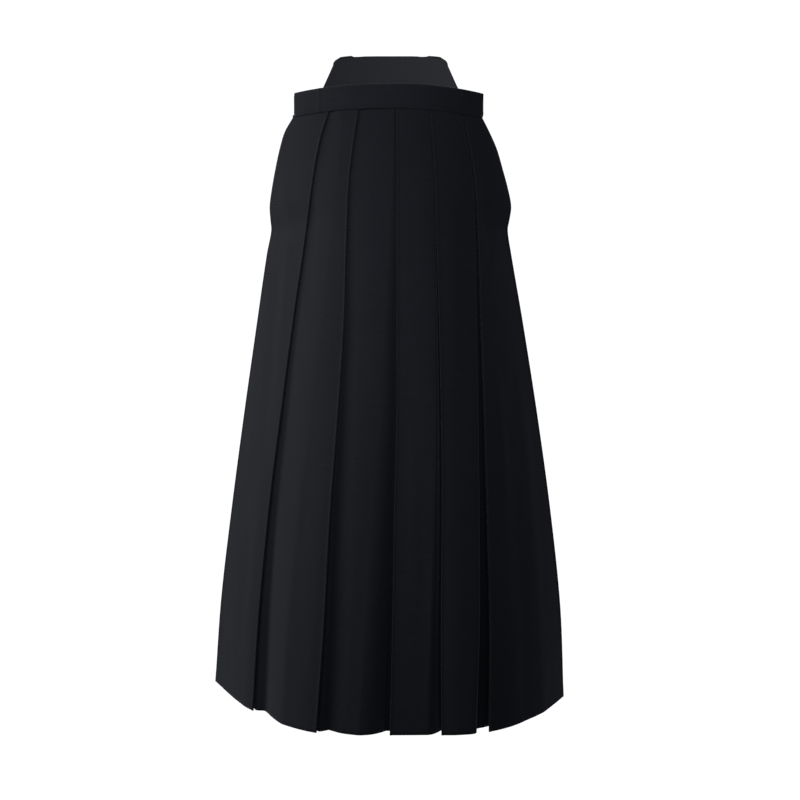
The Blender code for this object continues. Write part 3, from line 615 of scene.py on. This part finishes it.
def inner_leg_path(drop, side):
    """One inner leg at a drop, from the front centre seam to the back's, bowed away from the other leg."""
    front, way_in = front_flange(front_outline(drop), drop, side, FLANGE + SEAM)
    back = back_flange(back_outline(drop), drop, side, FLANGE + SEAM)[1]
    reach = math.dist(front, back)
    creased = soft((drop - CROTCH) / INNER_CREASES_GROW)
    path = []
    for t in even_shares(INNER_STEPS):
        ease_front, ease_back = t * (1 - t) ** 2 * reach, t * t * (t - 1) * reach
        bow = from_crotch(drop, INNER_SWELL) + relief(INNER_CREASES, t * reach, drop) * creased
        x, y = part_way(front, back, soft(t))
        x += way_in[0] * ease_front + side * bow * math.sin(math.pi * t) ** 2
        path.append((x, y + way_in[1] * ease_front + ease_back))
    return path


# Materials. Coordinates run in metres along the cloth, across it as u and down it as v.
def set_inputs(node, values):
    for name, value in values.items():
        node.inputs[name].default_value = value


class Looks:
    """A material being put together from nodes."""

    def __init__(self, name):
        self.material = bpy.data.materials.new(name)
        self.material.use_nodes = True
        self.tree = self.material.node_tree
        self.shader = self.tree.nodes["Principled BSDF"]
        self.row = 0

    def node(self, kind, **settings):
        made = self.tree.nodes.new(kind)
        made.location = (-900 + 220 * (self.row % 4), 300 - 200 * (self.row // 4))
        self.row += 1
        for key, value in settings.items():
            setattr(made, key, value)
        return made

    def link(self, output, target):
        self.tree.links.new(output, target)

    def scaled(self, scale, source):
        """Coordinates stretched by a scale each way."""
        made = self.node("ShaderNodeMapping")
        set_inputs(made, {"Scale": scale})
        self.link(source, made.inputs["Vector"])
        return made.outputs["Vector"]

    def noise(self, vector, scale, detail=2.0, roughness=0.5):
        made = self.node("ShaderNodeTexNoise")
        set_inputs(made, {"Scale": scale, "Detail": detail, "Roughness": roughness})
        self.link(vector, made.inputs["Vector"])
        return made.outputs["Fac"]

    def wave(self, vector, pitch, direction, distortion):
        """Bands a pitch apart. Blender's own are tau / 20 apart at a scale of 1."""
        made = self.node("ShaderNodeTexWave", wave_type="BANDS", bands_direction=direction)
        set_inputs(made, {"Scale": math.tau / 20 / pitch, "Distortion": distortion, "Detail": 1.0})
        self.link(vector, made.inputs["Vector"])
        return made.outputs["Fac"]

    def math(self, operation, first, second):
        made = self.node("ShaderNodeMath", operation=operation)
        for socket, value in zip(made.inputs, (first, second)):
            if isinstance(value, (int, float)):
                socket.default_value = value
            else:
                self.link(value, socket)
        return made.outputs["Value"]

    def mixed(self, *parts):
        """The sum of some sources, each times its share."""
        total = None
        for source, share in parts:
            part = self.math("MULTIPLY", source, share)
            total = part if total is None else self.math("ADD", total, part)
        return total

    def ramp(self, factor, low, high, colour, variation):
        """A colour that goes from darker to lighter as the factor goes from low to high."""
        made = self.node("ShaderNodeValToRGB")
        for stop, position, change in zip(made.color_ramp.elements, (low, high), (-variation, variation)):
            stop.position = position
            stop.color = (*(c * (1 + change) for c in colour), 1.0)
        self.link(factor, made.inputs["Fac"])
        return made.outputs["Color"]

    def bump(self, height, strength, distance, under=None):
        made = self.node("ShaderNodeBump")
        set_inputs(made, {"Strength": strength, "Distance": distance})
        self.link(height, made.inputs["Height"])
        if under is not None:
            self.link(under, made.inputs["Normal"])
        return made.outputs["Normal"]


def woven(name, colour, rib=0.004343, rib_bump=0.3, variation=0.24):
    """Near-black woven cloth: uneven ribs along the weft, slubs, a faint nap and slow changes of tone."""
    looks = Looks(name)
    place = looks.node("ShaderNodeUVMap", uv_map="cloth").outputs["UV"]
    slubs = looks.noise(looks.scaled((95.0, 330.0, 1.0), place), 1.0, 3.0, 0.6)
    long_streaks = looks.noise(looks.scaled((14.0, 210.0, 1.0), place), 1.0)
    warp = looks.noise(looks.scaled((430.0, 70.0, 1.0), place), 1.0)
    clouds = looks.noise(place, 16.0, 3.0, 0.55)
    ribs = looks.wave(place, rib, "Y", 2.2)
    threads = looks.wave(place, WARP_PITCH, "X", 1.2)
    tone = looks.mixed((slubs, 0.38), (long_streaks, 0.20), (warp, 0.24), (clouds, 0.18))
    looks.link(looks.ramp(tone, 0.36, 0.64, colour, variation), looks.shader.inputs["Base Color"])
    weave = looks.mixed((ribs, 0.7), (threads, 0.3))
    coarse = looks.bump(slubs, 0.35, 0.00035)
    looks.link(looks.bump(weave, rib_bump, 0.00025, coarse), looks.shader.inputs["Normal"])
    rough = looks.node("ShaderNodeMapRange")
    set_inputs(rough, {"To Min": 0.76, "To Max": 0.90})
    looks.link(tone, rough.inputs["Value"])
    looks.link(rough.outputs["Result"], looks.shader.inputs["Roughness"])
    nap = {"Sheen Weight": 0.12, "Sheen Roughness": 0.45, "Sheen Tint": (0.80, 0.86, 1.0, 1.0)}
    set_inputs(looks.shader, {"Specular IOR Level": 0.22, **nap})
    return looks.material


def thread(name, colour):
    """Sewing thread: twisted, with a slight sheen."""
    looks = Looks(name)
    place = looks.node("ShaderNodeTexCoord").outputs["Object"]
    twist = looks.noise(place, 2600.0, 2.0, 0.6)
    looks.link(looks.ramp(twist, 0.3, 0.7, colour, 0.3), looks.shader.inputs["Base Color"])
    looks.link(looks.bump(twist, 0.5, 0.0002), looks.shader.inputs["Normal"])
    set_inputs(looks.shader, {"Roughness": 0.55, "Sheen Weight": 0.2})
    return looks.material


# Shapes.
def placed(name, data):
    made = bpy.data.objects.new(name, data)
    bpy.context.scene.collection.objects.link(made)
    return made


def new_piece(name, points, faces, looks):
    """A smooth mesh of one material, which rides on the garment's one body."""
    mesh = bpy.data.meshes.new(name)
    mesh.from_pydata(points, [], faces)
    mesh.shade_smooth()
    mesh.materials.append(looks)
    made = placed(name, mesh)
    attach(made, "root")
    return made


def map_cloth(piece, places):
    """Gives each corner of each face its place on the flat cloth."""
    cloth_map = piece.data.uv_layers.new(name="cloth")
    for loop, place in zip(cloth_map.data, places):
        loop.uv = place


def round_edges(piece, width, segments):
    rounded = piece.modifiers.new("rounded edges", "BEVEL")
    rounded.width = width
    rounded.segments = segments
    rounded.limit_method = "ANGLE"
    rounded.angle_limit = math.radians(SHARP_ANGLE)


def shell(name, rows, thickness, looks, node, turned=None):
    """A thin wall of cloth through rows of points, in the place of a solid. turned(row, column) is 1 where
    the cloth lies double, at a turned edge, and 0 elsewhere."""
    columns = len(rows[0])
    downs = distances([row[0] for row in rows])
    acrosses = [distances(row) for row in rows]
    faces, places = [], []
    for r in range(len(rows) - 1):
        for c in range(columns - 1):
            corners = ((r, c), (r + 1, c), (r + 1, c + 1), (r, c + 1))
            faces.append([i * columns + k for i, k in corners])
            places += [(acrosses[i][k], -downs[i]) for i, k in corners]
    made = new_piece(name, [point for row in rows for point in row], faces, looks)
    map_cloth(made, places)
    wall = made.modifiers.new("cloth thickness", "SOLIDIFY")
    wall.offset = 0.0
    wall.thickness = thickness
    if turned is not None:
        double = made.vertex_groups.new(name="double")
        wall.thickness = TURNED
        wall.vertex_group = "double"
        wall.thickness_vertex_group = thickness / TURNED
        for r in range(len(rows)):
            for c in range(columns):
                weight = turned(r, c)
                if weight > 0:
                    double.add([r * columns + c], weight, "REPLACE")
    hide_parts(node)
    return made


def stitches(name, runs, looks):
    """Rows of sewn stitches as one mesh. A run is its points, and the way out of the cloth at each."""
    points, faces = [], []
    for run, outs in runs:
        passed = distances(run)
        count = max(2, int(passed[-1] / STITCH_PITCH))
        segment = 0
        for k in range(count):
            mark = passed[-1] * (k + 0.5) / count
            while segment < len(run) - 2 and passed[segment + 1] < mark:
                segment += 1
            a, b = Vector(run[segment]), Vector(run[segment + 1])
            if (b - a).length < NO_LENGTH:
                continue
            way = (b - a).normalized()
            middle = a + way * (mark - passed[segment])
            side = way.cross(outs[segment]).normalized()
            out = side.cross(way).normalized()
            near = len(points) + 1
            far = near + STITCH_SIDES
            points.append(middle - way * STITCH / 2 - out * STITCH_RADIUS)
            for offset in (-STITCH_FULL, STITCH_FULL):
                for corner in range(STITCH_SIDES):
                    angle = math.tau * (corner + 0.5) / STITCH_SIDES
                    spoke = out * math.sin(angle) + side * math.cos(angle)
                    points.append(middle + way * STITCH * offset + spoke * STITCH_RADIUS)
            points.append(middle + way * STITCH / 2 - out * STITCH_RADIUS)
            for corner in range(STITCH_SIDES):
                after = (corner + 1) % STITCH_SIDES
                faces.append((near - 1, near + after, near + corner))
                faces.append((near + corner, near + after, far + after, far + corner))
                faces.append((far + corner, far + after, far + STITCH_SIDES))
    return new_piece(name, points, faces, looks)


def run_on(rows, index, lift, sign, by_column=False):
    """A run of stitches on a sheet, along a row or down a column, lifted off one face of the cloth."""
    points, outs = [], []
    grid = [list(column) for column in zip(*rows)] if by_column else rows
    turn = 1 if index + 1 < len(grid) else -1
    line, beside = grid[index], grid[index + turn]
    for here, onward, over in zip(line, line[1:], beside):
        here = Vector(here)
        out = (Vector(onward) - here).cross((Vector(over) - here) * turn).normalized() * sign
        points.append(here + out * lift)
        outs.append(out)
    return points, outs


# The legs.
def levels(top, bottom, spacing=ROW):
    steps = max(1, round((bottom - top) / spacing))
    return [top + (bottom - top) * share for share in even_shares(steps)]


def turned_edges(drops, slit):
    """Where a leg's cloth lies double: its turned-up hem, and the turned edge of a side slit."""

    def weight(r, c):
        at_hem = drops[r] > HEM - TURNED_HEM
        at_slit = slit and drops[r] < NOTCH and c < TURNED_COLUMNS
        return 1.0 if at_hem or at_slit else 0.0

    return weight


def legs(cloth, sewing):
    paths = {
        "front": (front_leg_path, CLOTH_TOP),
        "back": (back_leg_path, CLOTH_TOP),
        "inner": (inner_leg_path, CROTCH),
    }
    for side, name in SIDE_NAMES.items():
        for part, (path_at, top) in paths.items():
            piece = f"{part}_{name}_leg"
            drops = levels(top, HEM)
            rows = [[(x, y, -drop) for x, y in path_at(drop, side)] for drop in drops]
            double = turned_edges(drops, slit=part != "inner")
            made = shell(f"{piece}_cloth", rows, CLOTH, cloth, piece, double)
            if part != "inner":
                edge = [row for row, drop in zip(rows, drops) if SLIT_SEWN_FROM < drop < NOTCH][:-1]
                sign = -side if part == "front" else side
                run = run_on(edge, SLIT_STITCH_COLUMN, TURNED / 2, sign, by_column=True)
                stitches(f"{piece}_slit_stitches", [run], sewing)


# The waistbands.
def band_profile():
    """A band's section: outer face, rounded fold and inner face, each point a depth and a height."""
    radius = (BAND_STAND_OFF + BAND_INSIDE) / 2
    side_top = BAND_CLOTH_TOP - BAND_CROWN
    profile = []
    for height in levels(0.0, side_top, BAND_ROW):
        pulled_in = (BAND_STAND_OFF - BAND_SEWN_STAND_OFF) * (1 - soft(height / BAND_SEWN_HEIGHT))
        profile.append((pulled_in - BAND_STAND_OFF, height))
    outer_rows = len(profile)
    for share in even_shares(BAND_FOLD_STEPS)[1:-1]:
        angle = math.pi * share
        profile.append((BAND_MIDDLE - radius * math.cos(angle), side_top + BAND_CROWN * math.sin(angle)))
    profile += [(BAND_INSIDE, height) for height in reversed(levels(0.0, side_top, BAND_INSIDE_ROW))]
    return profile, outer_rows


def band(name, outline, ends, looks, sewing):
    """A waistband folded over the tops of the panels, with the ridges that are pressed into it."""
    start, end = (outline.at_x(x) for x in ends)
    profile, outer_rows = band_profile()
    slant = BAND_SLANT[name]
    rows = []
    for depth, height in profile:
        row = []
        longer = height / BAND_HEIGHT - 0.5
        first, last = start - slant[0] * longer, end + slant[1] * longer
        for share in even_shares(round((end - start) / BAND_COLUMN)):
            place = first + (last - first) * share
            swell = rippled(BAND_RIPPLES, place, height) * soft(height / BAND_SEWN_HEIGHT)
            swell += BAND_BOW * math.sin(math.pi * min(height / BAND_CLOTH_TOP, 1.0))
            for at, rise in BAND_RIDGES[name]:
                swell += rise * math.exp(-(((place - outline.centre - at) / BAND_RIDGE_WIDTH) ** 2))
            point = outline.at(place, depth - (swell if depth < BAND_MIDDLE else 0.0))[0]
            row.append((*point, height))
        rows.append(row)
    made = shell(f"{name}_cloth", rows, CLOTH, looks, name)
    runs = [run_on(rows, index, CLOTH / 2, outline.inward) for index in (1, outer_rows - 1)]
    sewn = stitches(f"{name}_stitches", runs, sewing)


# The back board.
def board(looks, sewing):
    """The stiff board in its tight cover, curved with the back, its top corners rounded."""
    outline = back_outline(0.0)
    side_top = BOARD_SHOULDER - BOARD_CORNER
    widths = []
    for share in even_shares(BOARD_SIDE_STEPS):
        half = BOARD_HALF_BOTTOM + (BOARD_HALF_TOP - BOARD_HALF_BOTTOM) * share
        widths.append((BOARD_BOTTOM + (side_top - BOARD_BOTTOM) * share, half))
    for share in even_shares(BOARD_CORNER_STEPS)[1:]:
        turn = math.pi / 2 * share
        half = BOARD_HALF_TOP - BOARD_CORNER * (1 - math.cos(turn))
        widths.append((side_top + BOARD_CORNER * math.sin(turn), half))
    middle = outline.at_x(0.0)
    rows = []
    for height, half in widths:
        up = (height - BOARD_BOTTOM) / (BOARD_SHOULDER - BOARD_BOTTOM)
        row = []
        for share in even_shares(BOARD_STEPS):
            across = -1 + 2 * share
            depth = BOARD_DEPTH + BOARD_LEAN * up**2 + rippled(BOARD_RIPPLES, across, height)
            x, y = outline.at(middle + across * min(half, BOARD_FOLLOWS), depth)[0]
            spare = max(0.0, abs(across) * half - abs(x)) * (1 if across > 0 else -1)
            crown = (BOARD_TOP - BOARD_SHOULDER) * (1 - abs(across) ** 3) * up
            row.append((x + spare, y, height + crown))
        rows.append(row)
    made = shell("back_board_cover", rows, BOARD_THICKNESS, looks, "back_board")
    round_edges(made, BOARD_ROUND, 4)
    runs = []
    for sign in (-1, 1):
        lift = BOARD_THICKNESS / 2
        runs.append(run_on(rows, 1, lift, sign))
        for column in (2, BOARD_STEPS - 2):
            runs.append(run_on(rows, column, lift, sign, by_column=True))
    stitches("back_board_stitches", runs, sewing)


# The ties.
def tie_shell(name, rows, looks):
    made = shell(f"{name}_cloth", rows, TIE_THICKNESS, looks, name)
    round_edges(made, TIE_ROUND, 3)
    return made


def sewn_tie(name, rows, looks, sewing):
    """A tie with a row of stitches along both edges, on both faces."""
    made = tie_shell(name, rows, looks)
    runs = []
    for sign in (-1, 1):
        for index in (1, len(rows) - 2):
            runs.append(run_on(rows, index, TIE_THICKNESS / 2, sign))
    sewn = stitches(f"{name}_cloth_stitches", runs, sewing)


def smooth_route(points, steps):
    """A smooth curve through a few points of a route."""
    padded = [points[0], *points, points[-1]]
    route = []
    for a, b, c, d in zip(padded, padded[1:], padded[2:], padded[3:]):
        for t in even_shares(steps)[:-1]:
            weights = (
                -t + 2 * t * t - t**3,
                2 - 5 * t * t + 3 * t**3,
                t + 4 * t * t - 3 * t**3,
                t**3 - t * t,
            )
            route.append(tuple(sum(w * p for w, p in zip(weights, spots)) / 2 for spots in zip(a, b, c, d)))
    route.append(points[-1])
    return route


def front_ties(looks, sewing):
    """The front ties run back from the band's ends, round inside the board, and meet in a flat knot."""
    outline = front_outline(0.0)
    for side, name in SIDE_NAMES.items():
        band_end = FRONT_BAND_ENDS[0 if side == RIGHT_SIDE else 1]
        along = outline.at_x(band_end)
        start = outline.at(along + side * SEAM, BAND_MIDDLE)[0]
        lead = outline.at(along + side * TIE_LEAD, BAND_MIDDLE)[0]
        wider = abs(band_end) - FRONT_BAND_ENDS[1]
        path = [start, lead]
        for x, y in smooth_route(FRONT_TIE_ROUTE, TIE_ROUTE_STEPS):
            share = (x / FRONT_TIE_ROUTE[0][0] - TIE_EASES_FROM) / (1 - TIE_EASES_FROM)
            path.append((side * (x + wider * min(1.0, max(0.0, share))), y))
        rows = []
        for share in TIE_SHARES:
            row = []
            for k, (x, y) in enumerate(path):
                calm = soft(min(k, len(path) - 1 - k) / TIE_CALM_STEPS)
                sway = TIE_SWAY * calm * noise.noise(Vector((x * 30, share * 2.4, 5.0 + side)))
                row.append((x * (1 + sway / TIE_RING), y + sway, TIE_LOW + TIE_WIDTH * share))
            rows.append(row)
        sewn_tie(f"front_tie_{name}", rows, looks, sewing)


def knot(looks):
    """The flat knot at the centre back, inside the board: a rounded block, grooved between its laps."""
    half_width, half_height = KNOT_WIDTH / 2, TIE_WIDTH / 2
    middle = (TIE_LOW + TIE_HIGH) / 2
    points, faces = [], []
    for share in even_shares(KNOT_STATIONS):
        t = -1 + 2 * share
        x = t * half_width
        full = (1 - abs(t) ** KNOT_ENDS[0]) ** KNOT_ENDS[1]
        for k in range(KNOT_STEPS):
            angle = math.tau * k / KNOT_STEPS
            c, n = math.cos(angle), math.sin(angle)
            height = math.copysign(abs(n) ** KNOT_SIDES, n) * half_height * full
            out = math.copysign(abs(c) ** KNOT_FACES, c) * KNOT_THICKNESS / 2 * full
            lap = math.exp(-(((x * LAP_SLOPE - height) / LAP_WIDTH) ** 2))
            lap += math.exp(-(((x * LAP_SLOPE + height) / LAP_WIDTH) ** 2)) * 0.6
            points.append((x, KNOT_BACK + out * (1 - LAP_GROOVE * lap), middle + height))
    for station in range(KNOT_STATIONS):
        a, b = station * KNOT_STEPS, (station + 1) * KNOT_STEPS
        for k in range(KNOT_STEPS):
            after = (k + 1) % KNOT_STEPS
            faces.append((a + k, b + k, b + after, a + after))
    last = KNOT_STATIONS * KNOT_STEPS
    faces += [tuple(range(KNOT_STEPS)), tuple(reversed(range(last, last + KNOT_STEPS)))]
    made = new_piece("front_tie_knot_cloth", points, faces, looks)
    corners = [made.data.vertices[loop.vertex_index].co for loop in made.data.loops]
    map_cloth(made, [(x + y, z) for x, y, z in corners])
    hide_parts("front_tie_knot")


def tails(looks):
    """The front ties' two short ends, folded to half their width, below the knot."""
    for side, name in SIDE_NAMES.items():
        rows = []
        for share in TAIL_SHARES:
            row = []
            for drop in levels(-TIE_LOW + SEAM, TAIL_END, TAIL_ROW):
                outline = back_outline(drop)
                along = outline.at_x(side * (TAIL_INNER_EDGE + TAIL_WIDTH * share))
                sway = TAIL_SWAY * math.sin(drop * 60 + side) * soft(drop / 0.03) * math.sin(math.pi * share)
                row.append((*outline.at(along, TAIL_DEPTH + sway, creased=False)[0], -drop))
            rows.append(row)
        made = tie_shell(f"front_tie_tail_{name}", rows, looks)


def rows_between(upper, lower, steps):
    """Rows of points evenly between two rows."""
    return [
        [part_way(a, b, share) for a, b in zip(upper, lower)]
        for share in even_shares(steps)[1:-1]
    ]  # fmt: skip


def back_ties(looks, sewing):
    """The back ties leave the ends of the back band, fold over on the slant and hang down behind."""
    outline = back_outline(0.0)
    heights = [TIE_HIGH - TIE_WIDTH * share for share in TIE_SHARES]
    for side, name in SIDE_NAMES.items():
        x, y = outline.at(outline.at_x(side * BACK_BAND_ENDS[1]) + side * SEAM)[0]
        leaving = [(x, y, height) for height in heights]
        (fold_x, fold_y), way_in = outline.at(outline.length if side == LEFT_SIDE else 0.0)
        across = (side * abs(way_in[1]), -abs(way_in[0]))
        half = BACK_TIE_FOLD_GAP / 2
        fold = []
        for turn in even_shares(TIE_FOLD_STEPS):
            angle = math.pi * turn
            stand_off, reach = half * (1 - math.cos(angle)), half * math.sin(angle)
            row = []
            for share, height in zip(TIE_SHARES, heights):
                out = TIE_WIDTH * share + reach
                x = fold_x + across[0] * out - way_in[0] * stand_off
                row.append((x, fold_y + across[1] * out - way_in[1] * stand_off, height))
            fold.append(row)
        hanging = []
        for drop in levels(BACK_TIE_HANGS_FROM, BACK_TIE_END, BACK_TIE_ROW):
            behind = back_outline(drop)
            limit = abs(behind.points[0 if side == RIGHT_SIDE else -1][0])
            row = []
            for above, share in zip(hanging[-1] if hanging else fold[-1], TIE_SHARES):
                x = side * (BACK_TIE_FOLD + across[0] * side * TIE_WIDTH * share)
                point = (x, above[1])
                if abs(x) < limit:
                    sway = BACK_TIE_SWAY * (1 + math.sin(drop * 17 + side * 2 + share * 1.3))
                    sway *= soft((drop - 0.03) / 0.08)
                    point = behind.at(behind.at_x(x), -BACK_TIE_STAND_OFF - sway)[0]
                row.append((*point, -drop))
            hanging.append(row)
        rows = [leaving, *rows_between(leaving, fold[0], TIE_LEAVING_STEPS), *fold]
        rows += [*rows_between(fold[-1], hanging[0], TIE_DROP_STEPS), *hanging]
        sewn_tie(f"back_tie_{name}", [list(column) for column in zip(*rows)], looks, sewing)


# The studio.
def studio():
    floor_material = bpy.data.materials.new("pale_floor")
    floor_material.use_nodes = True
    set_inputs(floor_material.node_tree.nodes["Principled BSDF"], {"Base Color": PALE, "Roughness": 0.9})
    bpy.ops.mesh.primitive_circle_add(
        vertices=96, radius=FLOOR_RADIUS, fill_type="NGON", location=(0, 0, FLOOR_HEIGHT)
    )
    floor = bpy.context.object
    floor.name = "studio_floor"
    floor.data.materials.append(floor_material)

    world = bpy.data.worlds.new("white_studio")
    bpy.context.scene.world = world
    world.use_nodes = True
    tree = world.node_tree
    tree.nodes.clear()
    sight = tree.nodes.new("ShaderNodeLightPath")
    seen = tree.nodes.new("ShaderNodeBackground")
    set_inputs(seen, {"Color": (1.0, 1.0, 1.0, 1.0), "Strength": 1.05})
    ambient = tree.nodes.new("ShaderNodeBackground")
    set_inputs(ambient, {"Color": (0.86, 0.9, 1.0, 1.0), "Strength": 0.055})
    mix = tree.nodes.new("ShaderNodeMixShader")
    output = tree.nodes.new("ShaderNodeOutputWorld")
    tree.links.new(sight.outputs["Is Camera Ray"], mix.inputs["Fac"])
    tree.links.new(ambient.outputs["Background"], mix.inputs[1])
    tree.links.new(seen.outputs["Background"], mix.inputs[2])
    tree.links.new(mix.outputs["Shader"], output.inputs["Surface"])
    bpy.context.scene.view_settings.view_transform = "Standard"


def softbox(name, place, aim, size, power, colour):
    light = bpy.data.lights.new(name, "AREA")
    light.shape = "RECTANGLE"
    light.size, light.size_y = size
    light.energy = power
    light.color = colour
    made = placed(name, light)
    made.location = place
    made.rotation_euler = (Vector(aim) - Vector(place)).to_track_quat("-Z", "Y").to_euler()
    made.visible_camera = False


def camera():
    """The photograph's view: level, square on, 1.98 m in front of the waist."""
    lens = bpy.data.cameras.new("photograph_view")
    lens.sensor_width = 36.0
    lens.lens = CAMERA_LENS
    made = placed("photograph_view", lens)
    made.location = CAMERA_PLACE
    made.rotation_euler = (math.radians(90), 0.0, 0.0)
    bpy.context.scene.camera = made


cloth = woven("hakama_cloth", BLACK)
band_cloth = woven("hakama_band_cloth", tuple(c * 1.15 for c in BLACK), rib=0.005527, rib_bump=0.4)
tie_cloth = woven("hakama_tie_cloth", BLACK)
board_cover = woven("hakama_board_cover", BOARD_COLOUR, rib=0.003158, rib_bump=0.15, variation=0.07)
sewing = thread("hakama_thread", THREAD_COLOUR)

legs(cloth, sewing)
band("front_band", front_outline(0.0), FRONT_BAND_ENDS, band_cloth, sewing)
band("back_band", back_outline(0.0), BACK_BAND_ENDS, band_cloth, sewing)
board(board_cover, sewing)
front_ties(tie_cloth, sewing)
knot(tie_cloth)
tails(tie_cloth)
back_ties(tie_cloth, sewing)
studio()
softbox("key", (-1.95, -0.32, 0.5), (0.0, 0.0, -0.1), (3.4, 1.4), 32.0, (1.0, 0.99, 0.98))
softbox("fill", (0.02, -1.0, 0.0), (0.02, 0.0, -0.15), (0.9, 0.5), 3.7, (0.95, 0.97, 1.0))
softbox("back_light", (0.6, 2.8, 0.8), (0.0, 0.0, -0.4), (1.6, 2.0), 40.0, (1.0, 1.0, 1.0))
camera()
